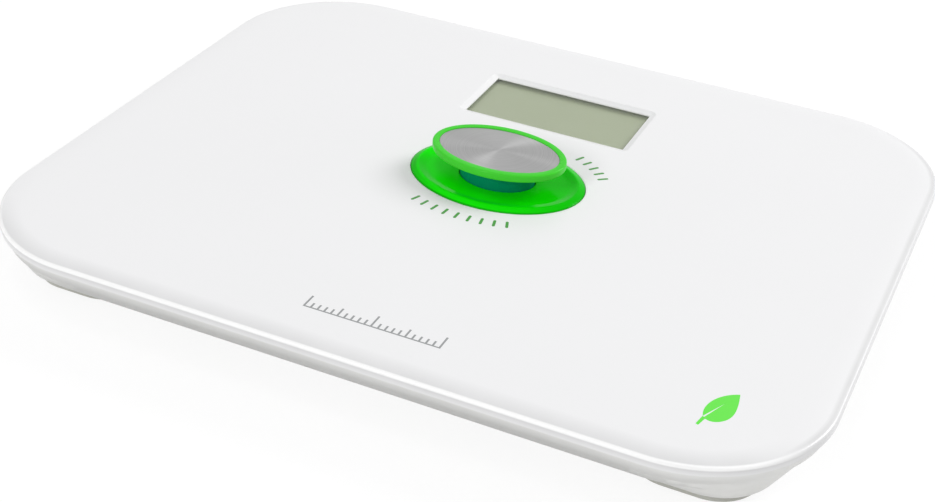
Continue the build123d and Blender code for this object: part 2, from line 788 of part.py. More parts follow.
# Return springs: one helix each, from the tray up to the neck's roof
spring_low_z = tray_top + spring_wire / 2 + 0.05
spring_height = neck_roof_z - spring_wire / 2 - 0.05 - spring_low_z
spring_pitch = spring_height / spring_turns
with BuildPart() as return_springs:
    for side in (-1, 1):
        with BuildLine() as coil:
            Helix(
                spring_pitch,
                spring_height,
                spring_radius,
                center=(panel_x + side * spring_x, button_y, spring_low_z),
            )
        with BuildSketch(Plane(origin=coil.line @ 0, z_dir=coil.line % 0)):
            Circle(spring_wire / 2)
        sweep(path=coil.line, is_frenet=True)
keep(return_springs, "return_springs")
print("spring gap between turns", round(spring_pitch - spring_wire, 2), "mm")

# Tray that carries the gear train and the generator
tray_middle = ((tray_x[0] + tray_x[1]) / 2, (tray_y[0] + tray_y[1]) / 2)
tray_width = tray_x[1] - tray_x[0]
tray_depth = tray_y[1] - tray_y[0]
outer_post = (15.0, 17.2)
cradle_y = (19.5, 27.5)
clamp_y = (21.0, 26.0)
clamp_foot_x = 9.2
clamp_block = (6.6, 11.0)
clamp_thickness = 0.8
clamp_gap = 0.1
ear_radius = 3.4
clamp_screws_at = [
    (spin_x + side * clamp_foot_x, button_y + sum(clamp_y) / 2) for side in (-1, 1)
]
with BuildPart() as gearbox_frame:
    with BuildSketch(Plane.XY.offset(tray_z)):
        with Locations((panel_x + tray_middle[0], button_y + tray_middle[1])):
            RectangleRounded(tray_width, tray_depth, 2.5)
    extrude(amount=tray_rim_z - tray_z)
    with BuildSketch(Plane.XY.offset(tray_top)):
        with Locations((panel_x + tray_middle[0], button_y + tray_middle[1])):
            RectangleRounded(tray_width - 2 * tray_wall, tray_depth - 2 * tray_wall, 1.0)
    extrude(amount=tray_rim_z - tray_top, mode=Mode.SUBTRACT)
    with BuildSketch(Plane.XY.offset(ear_z)):
        for x, y in tray_ears_at:
            side = 1 if x < panel_x else -1
            with Locations((x, y)):
                Circle(ear_radius)
            with Locations((x + side * 2.0, y)):
                Rectangle(4.0, 2 * ear_radius)
    extrude(amount=tray_rim_z - ear_z)
    with BuildSketch(Plane.XY.offset(ear_z)):
        with Locations(*tray_ears_at):
            Circle(1.1)
    extrude(amount=3.0, mode=Mode.SUBTRACT)
    with BuildSketch(Plane.XY.offset(tray_z)):
        with Locations(((rack_back_x + rack_pitch_x) / 2, button_y)):
            Rectangle(rack_pitch_x - rack_back_x + 2.2, 2 * rack_half_width + 1.2)
    extrude(amount=tray_plate, mode=Mode.SUBTRACT)
    with BuildSketch(Plane.XY.offset(tray_top)):
        for low, high in ((post_inner_y, post_outer_y), (-post_outer_y, -post_inner_y), outer_post):
            with Locations((shaft_x, button_y + (low + high) / 2)):
                Rectangle(post_width, high - low)
    extrude(amount=post_top_z - tray_top)
    with BuildSketch(Plane.XY.offset(tray_top)):
        with Locations((panel_x - spring_x, button_y), (panel_x + spring_x, button_y)):
            Circle(pin_radius)
    extrude(amount=4.0)
    with BuildSketch(Plane.XY.offset(tray_top)):
        with Locations((spin_x, button_y + sum(cradle_y) / 2)):
            Rectangle(8.0, cradle_y[1] - cradle_y[0])
        for side in (-1, 1):
            middle = spin_x + side * sum(clamp_block) / 2
            with Locations((middle, button_y + sum(clamp_y) / 2)):
                Rectangle(clamp_block[1] - clamp_block[0], clamp_y[1] - clamp_y[0])
    extrude(amount=tray_rim_z - tray_top)
    with BuildSketch(upright(button_y - post_outer_y - 1.0)):
        with Locations((shaft_x, pinion_z)):
            Circle(axle_radius + 0.05)
    extrude(amount=-(post_outer_y + outer_post[1] + 2.0), mode=Mode.SUBTRACT)
    with BuildSketch(upright(button_y + generator_y)):
        with Locations((spin_x, generator_z)):
            Circle(generator_radius + clamp_gap)
    extrude(amount=-(generator_length + 0.4), mode=Mode.SUBTRACT)
    with BuildSketch(Plane.XY.offset(tray_top + 0.2)):
        with Locations(*clamp_screws_at):
            Circle(0.85)
    extrude(amount=tray_rim_z - tray_top, mode=Mode.SUBTRACT)
keep(gearbox_frame, "gearbox_frame")

clamp_inner = generator_radius + clamp_gap
clamp_outer = clamp_inner + clamp_thickness
clamp_reach = clamp_block[1]
with BuildPart() as generator_clamp:
    with BuildSketch(upright(button_y + clamp_y[0])):
        with Locations((spin_x, generator_z)):
            Circle(clamp_outer)
            Rectangle(2 * clamp_outer, clamp_outer, align=(Align.CENTER, Align.MAX), mode=Mode.SUBTRACT)
        with Locations((spin_x, (generator_z + tray_rim_z) / 2)):
            Rectangle(2 * clamp_outer, generator_z - tray_rim_z)
        with Locations((spin_x, tray_rim_z + clamp_thickness / 2)):
            Rectangle(2 * clamp_reach, clamp_thickness)
        with Locations((spin_x, generator_z)):
            Circle(clamp_inner, mode=Mode.SUBTRACT)
        with Locations((spin_x, (generator_z + tray_rim_z) / 2 - 1.0)):
            Rectangle(2 * clamp_inner, generator_z - tray_rim_z + 2.0, mode=Mode.SUBTRACT)
    extrude(amount=clamp_y[0] - clamp_y[1])
    with BuildSketch(Plane.XY.offset(tray_rim_z)):
        with Locations(*clamp_screws_at):
            Circle(0.95)
    extrude(amount=2.0, mode=Mode.SUBTRACT)
keep(generator_clamp, "generator_clamp")

clamp_foot_top = tray_rim_z + clamp_thickness
with BuildPart() as gearbox_screws:
    with BuildSketch(Plane.XY.offset(tray_rim_z)):
        with Locations(*tray_ears_at):
            Circle(2.1)
    extrude(amount=1.4)
    with BuildSketch(Plane.XY.offset(tray_z + 0.5)):
        with Locations(*tray_ears_at):
            Circle(1.05)
    extrude(amount=tray_rim_z - tray_z - 0.5)
    with BuildSketch(Plane.XY.offset(clamp_foot_top)):
        with Locations(*clamp_screws_at):
            Circle(1.5)
    extrude(amount=1.0)
    with BuildSketch(Plane.XY.offset(tray_top + 0.4)):
        with Locations(*clamp_screws_at):
            Circle(0.8)
    extrude(amount=clamp_foot_top - tray_top - 0.4)
keep(gearbox_screws, "gearbox_screws")


def involute(angle):
    """Involute function of a pressure angle in radians."""
    return tan(angle) - angle


def gear_outline(centre, module, teeth, addendum, turn):
    """Outline of an involute gear with one tooth centred on an angle of turn radians."""
    pitch_radius = module * teeth / 2
    base_radius = pitch_radius * cos(pressure_angle)
    tip_radius = pitch_radius + addendum * module
    root_radius = pitch_radius - 1.1 * module
    half_pitch = pi / (2 * teeth) - gear_thinning / pitch_radius

    def half_tooth(radius):
        local = acos(min(1.0, base_radius / radius))
        return half_pitch + involute(pressure_angle) - involute(local)

    start = max(base_radius, root_radius)
    radii = [start + (tip_radius - start) * step / 4 for step in range(5)]
    flank = [(radius, half_tooth(radius)) for radius in radii]
    if root_radius < base_radius:
        flank.insert(0, (root_radius, half_tooth(base_radius)))
    points = []
    for tooth in range(teeth):
        middle = turn + 2 * pi * tooth / teeth
        sides = [(radius, middle - half) for radius, half in flank]
        sides += [(radius, middle + half) for radius, half in reversed(flank)]
        points += [(centre[0] + r * cos(angle), centre[1] + r * sin(angle)) for r, angle in sides]
    return points


# Drive shaft: steel axle with the pinion that the rack turns and the larger gear
gear_thinning = 0.04
mesh_angle = atan2(generator_z - pinion_z, spin_x - shaft_x)
shaft_centre = (shaft_x, pinion_z)
spin_centre = (spin_x, generator_z)
with BuildPart() as drive_axle:
    with BuildSketch(upright(button_y - post_outer_y)):
        with Locations((shaft_x, pinion_z)):
            Circle(axle_radius)
    extrude(amount=-(post_outer_y + outer_post[1]))
keep(drive_axle, "drive_axle")

with BuildPart() as drive_pinion:
    with BuildSketch(upright(button_y - pinion_width / 2)):
        with BuildLine():
            Polyline(*gear_outline(shaft_centre, pinion_module, pinion_teeth, 0.8, pi), close=True)
        make_face()
        with Locations(shaft_centre):
            Circle(axle_radius, mode=Mode.SUBTRACT)
    extrude(amount=-pinion_width)
keep(drive_pinion, "drive_pinion")

gear_holes = 5
with BuildPart() as drive_gear:
    with BuildSketch(upright(button_y + gear_y)):
        with BuildLine():
            Polyline(*gear_outline(shaft_centre, train_module, gear_teeth, 0.62, mesh_angle), close=True)
        make_face()
        with Locations(shaft_centre):
            Circle(axle_radius, mode=Mode.SUBTRACT)
            with PolarLocations(4.2, gear_holes):
                Circle(1.2, mode=Mode.SUBTRACT)
    extrude(amount=-gear_width)
keep(drive_gear, "drive_gear")

# Generator: wound can, magnet rotor on a thin spindle and its small pinion
can_wall = 0.6
cover_thickness = 0.8
can_y = button_y + generator_y + cover_thickness
can_end_y = button_y + generator_y + generator_length
spindle_y = button_y + gear_y
bearing_radius = spindle_radius + 0.05
with BuildPart() as generator_can:
    with BuildSketch(upright(can_y)):
        with Locations((spin_x, generator_z)):
            Circle(generator_radius)
    extrude(amount=can_y - can_end_y)
    with BuildSketch(upright(can_y)):
        with Locations((spin_x, generator_z)):
            Circle(generator_radius - can_wall)
    extrude(amount=can_y - can_end_y + cover_thickness, mode=Mode.SUBTRACT)
    with BuildSketch(upright(can_y)):
        with Locations((spin_x, generator_z)):
            Circle(bearing_radius)
    extrude(amount=can_y - can_end_y, mode=Mode.SUBTRACT)
keep(generator_can, "generator_can")

with BuildPart() as generator_cover:
    with BuildSketch(upright(button_y + generator_y)):
        with Locations((spin_x, generator_z)):
            Circle(generator_radius)
            Circle(bearing_radius, mode=Mode.SUBTRACT)
    extrude(amount=-cover_thickness)
keep(generator_cover, "generator_cover")

coil_radii = (4.5, 5.85)
with BuildPart() as stator_coil:
    with BuildSketch(upright(can_y + 0.6)):
        with Locations((spin_x, generator_z)):
            Circle(coil_radii[1])
            Circle(coil_radii[0], mode=Mode.SUBTRACT)
    extrude(amount=-9.0)
keep(stator_coil, "stator_coil")

magnet_radius = 4.1
with BuildPart() as rotor_magnet:
    with BuildSketch(upright(can_y + 0.9)):
        with Locations((spin_x, generator_z)):
            Circle(magnet_radius)
            Circle(spindle_radius, mode=Mode.SUBTRACT)
    extrude(amount=-8.4)
keep(rotor_magnet, "rotor_magnet")

with BuildPart() as rotor_spindle:
    with BuildSketch(upright(spindle_y)):
        with Locations((spin_x, generator_z)):
            Circle(spindle_radius)
    extrude(amount=spindle_y - can_end_y)
keep(rotor_spindle, "rotor_spindle")

gap_turn = mesh_angle + pi + pi / spin_teeth
with BuildPart() as rotor_pinion:
    with BuildSketch(upright(spindle_y)):
        with BuildLine():
            Polyline(*gear_outline(spin_centre, train_module, spin_teeth, 0.8, gap_turn), close=True)
        make_face()
        with Locations(spin_centre):
            Circle(spindle_radius, mode=Mode.SUBTRACT)
    extrude(amount=-gear_width)
keep(rotor_pinion, "rotor_pinion")


def tube(points, radius):
    """Solid tube along straight runs joined by tangent arcs."""
    radii = route_radii(points)
    with BuildPart() as piece:
        with BuildLine() as route:
            FilletPolyline(*points, radius=radii)
        with BuildSketch(Plane(origin=route.line @ 0, z_dir=route.line % 0)):
            Circle(radius)
        sweep()
    run = sum(edge.length for edge in route.edges())
    ratio = piece.part.volume / (pi * radius**2 * run)
    print("tube radii", [round(r, 1) for r in radii], "volume over section times length", round(ratio, 4))
    return piece


# Leads of the generator and the load cells
wire_radius = 0.8
wire_z = board_top_z + wire_radius + 0.05
generator_route = [
    (spin_x, button_y + 26.6, wire_z),
    (spin_x, button_y + 31.4, wire_z),
    (spin_x - 1.0, button_y + 35.0, wire_z),
    (spin_x - 1.0, button_y + 38.4, wire_z),
]
generator_lead = tube(generator_route, wire_radius)
keep(generator_lead, "generator_lead")

for corner, (side, end) in feet.items():
    cell_lead = tube(lead_points(side, end), lead_radius)
    keep(cell_lead, f"cell_lead_{corner}")

# Load cells in the four corners, held down by a retainer over the foot's pin
for corner, (side, end) in feet.items():
    x, y = foot_x * side, foot_y * end
    window_left = -cell_window / 2
    tongue_length = cell_window / 2 + cell_tongue_tip
    tongue_middle = side * (cell_window / 2 - tongue_length / 2)
    with BuildPart() as load_cell:
        with BuildSketch(Plane.XY.offset(cell_z)):
            with Locations((x, y)):
                RectangleRounded(2 * cell_half, 2 * cell_half, 4.0)
                RectangleRounded(cell_window, cell_window, 2.0, mode=Mode.SUBTRACT)
            with Locations((x + tongue_middle, y)):
                Rectangle(tongue_length, cell_tongue_width)
        extrude(amount=cell_thickness)
    keep(load_cell, f"load_cell_{corner}")

    with BuildPart() as cell_retainer:
        with BuildSketch(Plane.XY.offset(cell_z + cell_thickness)):
            with Locations((x, y)):
                RectangleRounded(2 * retainer_half, 2 * retainer_half, 5.0)
            with Locations((x, y - retainer_post_offset), (x, y + retainer_post_offset)):
                Circle(retainer_post_radius + 0.4)
            with Locations((x, y)):
                RectangleRounded(cell_window, cell_window, 3.0, mode=Mode.SUBTRACT)
            with Locations((x, y - retainer_post_offset), (x, y + retainer_post_offset)):
                Circle(1.3, mode=Mode.SUBTRACT)
            with Locations((x - side * retainer_half, y)):
                Rectangle(2 * retainer_half - cell_window + 2.0, 4.4, mode=Mode.SUBTRACT)
        extrude(amount=retainer_height)
    keep(cell_retainer, f"cell_retainer_{corner}")

gauge_height = 1.4
with BuildPart() as strain_gauges:
    for x, y in foot_spots:
        side = 1 if x > 0 else -1
        with BuildSketch(Plane.XY.offset(cell_z + cell_thickness)):
            with Locations((x + side * 4.6, y)):
                RectangleRounded(7.2, 8.0, 1.5)
        extrude(amount=gauge_height)
keep(strain_gauges, "strain_gauges")

retainer_top = cell_z + cell_thickness + retainer_height
with BuildPart() as retainer_screws:
    with BuildSketch(Plane.XY.offset(retainer_top)):
        with Locations(*retainer_screws_at):
            Circle(2.5)
    extrude(amount=1.4)
    with BuildSketch(Plane.XY.offset(boot_z + boot_floor + 1.0)):
        with Locations(*retainer_screws_at):
            Circle(1.25)
    extrude(amount=retainer_top - boot_z - boot_floor - 1.0)
keep(retainer_screws, "retainer_screws")

# Feet: cup with four snap hooks and a pin for the load cell, and a rubber pad below
pin_top_z = cell_z
hook_width = 6.0
for corner, (side, end) in feet.items():
    x, y = foot_x * side, foot_y * end
    with BuildPart() as foot_cup:
        with BuildSketch(Plane.XY.offset(foot_plate_z)):
            with Locations((x, y)):
                RectangleRounded(2 * foot_half, 2 * foot_half, foot_corner)
        extrude(amount=foot_plate_top - foot_plate_z)
        fillet(foot_cup.faces().sort_by(Axis.Z)[-1].edges(), 1.0)
        with BuildSketch(Plane.XY.offset(foot_plate_top)):
            with Locations((x, y)):
                Circle(foot_stem_radius)
        extrude(amount=foot_hook_top - foot_plate_top)
        with BuildSketch(Plane.XY.offset(foot_hook_z)):
            with Locations((x, y)):
                Circle(foot_hook_reach)
                Rectangle(2 * foot_hook_reach, hook_width, mode=Mode.INTERSECT)
        extrude(amount=foot_hook_top - foot_hook_z)
        with BuildSketch(Plane.XY.offset(foot_hook_z)):
            with Locations((x, y)):
                Circle(foot_hook_reach)
                Rectangle(hook_width, 2 * foot_hook_reach, mode=Mode.INTERSECT)
        extrude(amount=foot_hook_top - foot_hook_z)
        with BuildSketch(Plane.XY.offset(foot_plate_top + 1.0)):
            with Locations((x, y)):
                Circle(foot_stem_radius - 2.0)
        extrude(amount=foot_hook_top - foot_plate_top, mode=Mode.SUBTRACT)
        with BuildSketch(Plane.XY.offset(foot_plate_top)):
            with Locations((x, y)):
                Circle(3.5)
        extrude(amount=pin_top_z - foot_plate_top)
        with BuildSketch(Plane.XY.offset(foot_plate_z)):
            with Locations((x, y)):
                RectangleRounded(2 * pad_half + 0.2, 2 * pad_half + 0.2, pad_corner + 0.1)
        extrude(amount=pad_thickness - foot_plate_z, mode=Mode.SUBTRACT)
    keep(foot_cup, f"foot_cup_{corner}")

    with BuildPart() as foot_pad:
        with BuildSketch():
            with Locations((x, y)):
                RectangleRounded(2 * pad_half, 2 * pad_half, pad_corner)
        extrude(amount=pad_thickness)
        fillet(foot_pad.faces().sort_by(Axis.Z)[0].edges(), 0.5)
    keep(foot_pad, f"foot_pad_{corner}")

# Housing screws, driven from below into the platform's bosses
with BuildPart() as housing_screws:
    with BuildSketch(Plane.XY.offset(floor_z - 1.9)):
        with Locations(*housing_screws_at):
            Circle(2.9)
    extrude(amount=1.9)
    with BuildSketch(Plane.XY.offset(floor_z)):
        with Locations(*housing_screws_at):
            Circle(1.4)
    extrude(amount=7.0)
keep(housing_screws, "housing_screws")

# Prints: each fills its own shallow recess in the platform
prints = {"leaf_print": leaf_shape, "graduation_print": graduation_shape, "dash_print": dash_shape}
for print_name, shape in prints.items():
    with BuildPart() as film:
        extrude(shape.sketch, amount=film_thickness)
    keep(film, print_name)
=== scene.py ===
# %% [markdown]
# # Dressing a bathroom scale
#
# The scale is a flat white platform on four feet. A display sits under a bevelled opening, and an oval
# push button stands in a green dish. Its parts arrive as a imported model, with sizes worked out from a
# photograph or guessed; they are called the measured parts below. This lesson gives them their finished
# surfaces: it models the pieces that are seen close up, and paints all the others.

import json
from math import cos, pi, radians, sin, sqrt

import bmesh
import bpy
from mathutils import Matrix, Vector


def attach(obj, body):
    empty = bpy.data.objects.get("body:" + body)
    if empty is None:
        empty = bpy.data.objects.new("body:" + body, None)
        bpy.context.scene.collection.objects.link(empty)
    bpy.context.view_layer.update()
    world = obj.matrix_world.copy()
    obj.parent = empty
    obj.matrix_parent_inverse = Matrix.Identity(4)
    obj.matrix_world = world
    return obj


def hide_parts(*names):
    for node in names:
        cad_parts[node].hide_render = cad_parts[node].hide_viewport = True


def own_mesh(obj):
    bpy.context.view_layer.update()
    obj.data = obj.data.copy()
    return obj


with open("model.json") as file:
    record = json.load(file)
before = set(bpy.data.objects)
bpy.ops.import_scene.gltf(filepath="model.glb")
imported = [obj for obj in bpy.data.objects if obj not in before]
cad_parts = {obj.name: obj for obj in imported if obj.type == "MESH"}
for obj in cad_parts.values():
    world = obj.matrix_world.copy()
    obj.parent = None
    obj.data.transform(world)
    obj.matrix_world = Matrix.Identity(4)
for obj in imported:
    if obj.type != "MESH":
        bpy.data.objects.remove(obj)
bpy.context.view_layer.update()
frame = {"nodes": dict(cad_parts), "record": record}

# %% [markdown]
# ## Helpers for modelling
#
# Every piece below starts as one flat face or ring and is drawn up step by step, the way a person would
# extrude and inset it in edit mode. Operators act on whatever is selected, so each piece starts by
# selecting nothing. Sizes are written in millimetres and turned into metres by one factor.

# %% Units and selection
MM = 0.001
merge_gap = 0.001 * MM
level_gap = 0.002 * MM


def clear_selection():
    """Leave edit mode and deselect every object."""
    if bpy.context.mode != "OBJECT":
        bpy.ops.object.mode_set(mode="OBJECT")
    bpy.ops.object.select_all(action="DESELECT")


def start_piece(name):
    """Make an object with an empty mesh and open it for editing."""
    clear_selection()
    bpy.ops.mesh.primitive_plane_add(size=1.0, location=(0, 0, 0))
    piece = bpy.context.object
    piece.name = name
    piece.data.name = name
    bpy.ops.object.mode_set(mode="EDIT")
    bpy.ops.mesh.delete(type="VERT")
    return piece


def pick_faces(piece, test):
    """Select only the faces whose centre and normal pass a test."""
    bpy.ops.mesh.select_mode(type="FACE")
    bpy.ops.mesh.select_all(action="DESELECT")
    mesh = bmesh.from_edit_mesh(piece.data)
    chosen = [face for face in mesh.faces if test(face.calc_center_median(), face.normal)]
    for face in chosen:
        face.select_set(True)
    bmesh.update_edit_mesh(piece.data)
    return len(chosen)


def pick_open_edges(piece, height):
    """Select only the open edges that lie at one height, in millimetres."""
    bpy.ops.mesh.select_mode(type="EDGE")
    bpy.ops.mesh.select_all(action="DESELECT")
    mesh = bmesh.from_edit_mesh(piece.data)
    level = [e for e in mesh.edges if all(abs(v.co.z - height * MM) < level_gap for v in e.verts)]
    chosen = [edge for edge in level if not edge.is_manifold]
    for edge in chosen:
        edge.select_set(True)
    bmesh.update_edit_mesh(piece.data)
    return len(chosen)


# %% [markdown]
# A moulding's section is easiest to build as steps: draw the selected face in by a little, then lift it
# by a little. Oval parts can't be drawn in evenly by scaling, so theirs is a list of rings, each with its
# own half length, half width and height.

# %% Steps, rings and rounded faces
def step(inset, rise):
    """Draw the selected faces in and lift them, both in millimetres."""
    if inset > 0:
        bpy.ops.mesh.inset(thickness=inset * MM)
    else:
        bpy.ops.mesh.extrude_region_move()
    bpy.ops.transform.translate(value=(0, 0, rise * MM))


def add_rounded_face(size, corner, centre, height, corner_steps):
    """Add a flat face with round corners to the open mesh, facing up and selected."""
    bpy.ops.mesh.primitive_plane_add(size=1.0, location=(0, 0, 0))
    bpy.ops.transform.resize(value=(size[0] * MM, size[1] * MM, 1), center_override=(0, 0, 0))
    bpy.ops.transform.translate(value=(centre[0] * MM, centre[1] * MM, height * MM))
    bpy.ops.mesh.bevel(
        offset=corner * MM, segments=corner_steps, profile=0.5, affect="VERTICES", clamp_overlap=False
    )


def draw_rings(rings, centre, ring_steps, filled):
    """Add an oval body to the open mesh by extruding its outline from ring to ring."""
    fill = "NGON" if filled else "NOTHING"
    bpy.ops.mesh.primitive_circle_add(vertices=ring_steps, radius=1.0, fill_type=fill, location=(0, 0, 0))
    a, b, z = rings[0]
    bpy.ops.transform.resize(value=(a * MM, b * MM, 1), center_override=(0, 0, 0))
    bpy.ops.transform.translate(value=(centre[0] * MM, centre[1] * MM, z * MM))
    for next_a, next_b, next_z in rings[1:]:
        bpy.ops.mesh.extrude_region_move(TRANSFORM_OT_translate={"value": (0, 0, (next_z - z) * MM)})
        middle = (centre[0] * MM, centre[1] * MM, next_z * MM)
        bpy.ops.transform.resize(value=(next_a / a, next_b / b, 1), center_override=middle)
        a, b, z = next_a, next_b, next_z


def add_block(low, high):
    """Add a plain block between two corners, in millimetres, to the open mesh."""
    bpy.ops.mesh.primitive_cube_add(size=1.0, location=(0, 0, 0))
    size = [(h - l) * MM for l, h in zip(low, high)]
    bpy.ops.transform.resize(value=size, center_override=(0, 0, 0))
    bpy.ops.transform.translate(value=[(l + h) * MM / 2 for l, h in zip(low, high)])


# %% [markdown]
# A piece is finished the same way each time: double points are merged, faces are turned outwards, and
# only faces that meet at a small angle are shaded as one smooth surface. Then it is tied to the body
# that it moves with, and the measured parts that it stands for are hidden.

# %% Finishing a piece
def close_piece(piece, smooth_angle=35):
    """Merge doubles, turn faces outwards and shade gentle bends smooth."""
    bpy.ops.mesh.select_mode(type="VERT")
    bpy.ops.mesh.select_all(action="SELECT")
    bpy.ops.mesh.remove_doubles(threshold=merge_gap)
    bpy.ops.mesh.normals_make_consistent(inside=False)
    bpy.ops.object.mode_set(mode="OBJECT")
    bpy.ops.object.shade_smooth_by_angle(angle=radians(smooth_angle))
    check = bmesh.new()
    check.from_mesh(piece.data)
    loose = sum(1 for edge in check.edges if not edge.is_manifold)
    volume = check.calc_volume(signed=True) * 1e6
    check.free()
    print(piece.name, len(piece.data.polygons), "faces,", loose, "open edges,", round(volume, 2), "cm3")


def hand_over(piece, body, slot, material, *nodes):
    """Give a piece its finish, tie it to its body and hide the measured parts that it stands for."""
    piece.data.materials.clear()
    piece.data.materials.append(material)
    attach(piece, body)
    if nodes:
        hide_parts(*nodes)


def merged_copy(node, name, smooth_angle=30, lift=0.0):
    """Copy a measured part, lift it, merge its triangles and shade its curved faces smooth."""
    clear_selection()
    piece = bpy.data.objects.new(name, frame["nodes"][node].data.copy())
    piece.data.name = name
    bpy.context.scene.collection.objects.link(piece)
    piece.select_set(True)
    bpy.context.view_layer.objects.active = piece
    bpy.ops.object.mode_set(mode="EDIT")
    bpy.ops.mesh.select_all(action="SELECT")
    bpy.ops.transform.translate(value=(0, 0, lift * MM))
    close_piece(piece, smooth_angle)
    return piece


# %% [markdown]
# ## Camera
#
# The photograph's viewpoint was worked out from the platform's four edges: the camera stands in front
# and to the right, looks down by about a third of a right angle, and leans a little to one side. A lens of
# about 61 mm gives the same narrowing towards the back edge.

# %% Camera
camera_turn = radians(22.8454)
camera_dip = radians(32.4505)
camera_lean = radians(3.4375)
camera_place = (0.198662, -0.487591, 0.329687)
camera_lens = 61.393
camera_data = bpy.data.cameras.new("photo_camera")
camera_data.lens = camera_lens
camera_data.sensor_width = 36.0
camera = bpy.data.objects.new("photo_camera", camera_data)
turn = Matrix.Rotation(camera_turn, 4, "Z") @ Matrix.Rotation(pi / 2 - camera_dip, 4, "X")
lean = Matrix.Rotation(camera_lean, 4, "Z")
camera.matrix_world = Matrix.Translation(camera_place) @ turn @ lean
bpy.context.scene.collection.objects.link(camera)
bpy.context.scene.camera = camera
print("camera stands", round(camera.matrix_world.translation.length, 3), "m from the origin")

# %% [markdown]
# ## Light
#
# The photograph is a bright studio picture with almost no shadow. A white room gives much of the light.
# A large lamp at the back right leaves the near rim darker than the top, a weak one overhead is meant
# for the rim, and one in front fills the walls. All are aimed at the scale's middle. Most of the rim's
# bright line and grey is a painted highlight and painted shade in the white plastic.

# %% World and lamps
room_level = 0.47
lamp_target = Vector((0, 0, 0.02))
world = bpy.data.worlds.new("white_room")
bpy.context.scene.world = world
world.use_nodes = True
world_nodes = world.node_tree.nodes
background = world_nodes["Background"]
background.inputs["Color"].default_value = (1, 1, 1, 1)
path = world_nodes.new("ShaderNodeLightPath")
seen = world_nodes.new("ShaderNodeMath")
seen.operation = "MAXIMUM"
seen_through = world_nodes.new("ShaderNodeMath")
seen_through.operation = "MAXIMUM"
level = world_nodes.new("ShaderNodeMapRange")
level.inputs["To Min"].default_value = room_level
level.inputs["To Max"].default_value = 1.0
world_links = world.node_tree.links
world_links.new(path.outputs["Is Camera Ray"], seen.inputs[0])
world_links.new(path.outputs["Is Glossy Ray"], seen.inputs[1])
world_links.new(seen.outputs[0], seen_through.inputs[0])
world_links.new(path.outputs["Is Transmission Ray"], seen_through.inputs[1])
world_links.new(seen_through.outputs[0], level.inputs["Value"])
world_links.new(level.outputs["Result"], background.inputs["Strength"])


def add_lamp(name, place, size, power):
    """Add a square area lamp that faces the middle of the scale."""
    data = bpy.data.lights.new(name, "AREA")
    data.shape = "SQUARE"
    data.size = size
    data.energy = power
    lamp = bpy.data.objects.new(name, data)
    aim = lamp_target - Vector(place)
    lamp.matrix_world = Matrix.Translation(place) @ aim.to_track_quat("-Z", "Y").to_matrix().to_4x4()
    bpy.context.scene.collection.objects.link(lamp)
    print(name, round(aim.length, 2), "m away,", power, "W")


add_lamp("back_right_lamp", (1.9, 2.0, 1.8), 1.4, 66.0)
add_lamp("overhead_lamp", (-0.2, -0.5, 2.3), 0.6, 6.0)
add_lamp("front_lamp", (-0.8, -2.3, 1.4), 0.7, 24.0)
bpy.context.scene.view_settings.view_transform = "Standard"

# %% [markdown]
# ## Floor
#
# The floor is a wide pale sheet. Seen by the camera it is partly its own light, so that it fades into
# the white background, and partly a real surface, so that the scale's shadow stays on it.

# %% Floor
floor_grey = 0.93
floor_level = 1.04
floor_own_light = 0.84
clear_selection()
bpy.ops.mesh.primitive_plane_add(size=14.0, location=(0, 0, 0))
floor = bpy.context.object
floor.name = "floor"
floor_material = bpy.data.materials.new("pale_floor")
floor_material.use_nodes = True
floor_nodes = floor_material.node_tree.nodes
floor_links = floor_material.node_tree.links
floor_nodes.clear()
floor_out = floor_nodes.new("ShaderNodeOutputMaterial")
floor_mix = floor_nodes.new("ShaderNodeMixShader")
floor_surface = floor_nodes.new("ShaderNodeBsdfDiffuse")
floor_surface.inputs["Color"].default_value = (floor_grey, floor_grey, floor_grey, 1)
floor_light = floor_nodes.new("ShaderNodeEmission")
floor_light.inputs["Strength"].default_value = floor_level
floor_path = floor_nodes.new("ShaderNodeLightPath")
floor_seen = floor_nodes.new("ShaderNodeMath")
floor_seen.operation = "MAXIMUM"
floor_share = floor_nodes.new("ShaderNodeMath")
floor_share.operation = "MULTIPLY"
floor_share.inputs[1].default_value = floor_own_light
floor_links.new(floor_path.outputs["Is Camera Ray"], floor_seen.inputs[0])
floor_links.new(floor_path.outputs["Is Glossy Ray"], floor_seen.inputs[1])
floor_links.new(floor_seen.outputs[0], floor_share.inputs[0])
floor_links.new(floor_share.outputs[0], floor_mix.inputs["Fac"])
floor_links.new(floor_surface.outputs[0], floor_mix.inputs[1])
floor_links.new(floor_light.outputs[0], floor_mix.inputs[2])
floor_links.new(floor_mix.outputs[0], floor_out.inputs["Surface"])
floor.data.materials.append(floor_material)
print("floor", tuple(floor.dimensions))

# %% [markdown]
# ## Shared surface effects
#
# No real surface has one flat colour. The effects that several materials share are made once, as node
# groups with named inputs: the fine skin of moulded plastic, the marks that fingers leave, dust that
# settles low down, a painted highlight and painted shade along the platform's rim, and the lines of a
# turned or drawn metal. All of them read object coordinates, so a pattern keeps its real size on every part.

# %% Colours and empty groups
def screen(red, green, blue):
    """Colour seen on a screen, 0 to 255, as the linear colour that a node takes."""
    parts = [value / 255 for value in (red, green, blue)]
    parts = [v / 12.92 if v <= 0.04045 else ((v + 0.055) / 1.055) ** 2.4 for v in parts]
    return (*parts, 1.0)


def new_group(name, inputs, outputs):
    """Make a shader node group with named sockets and return it with its two ends."""
    group = bpy.data.node_groups.new(name, "ShaderNodeTree")
    for label, value in inputs.items():
        kind = "NodeSocketColor" if isinstance(value, tuple) else "NodeSocketFloat"
        socket = group.interface.new_socket(name=label, in_out="INPUT", socket_type=kind)
        socket.default_value = value
    for label, kind in outputs.items():
        group.interface.new_socket(name=label, in_out="OUTPUT", socket_type="NodeSocket" + kind)
    return group, group.nodes.new("NodeGroupInput"), group.nodes.new("NodeGroupOutput")


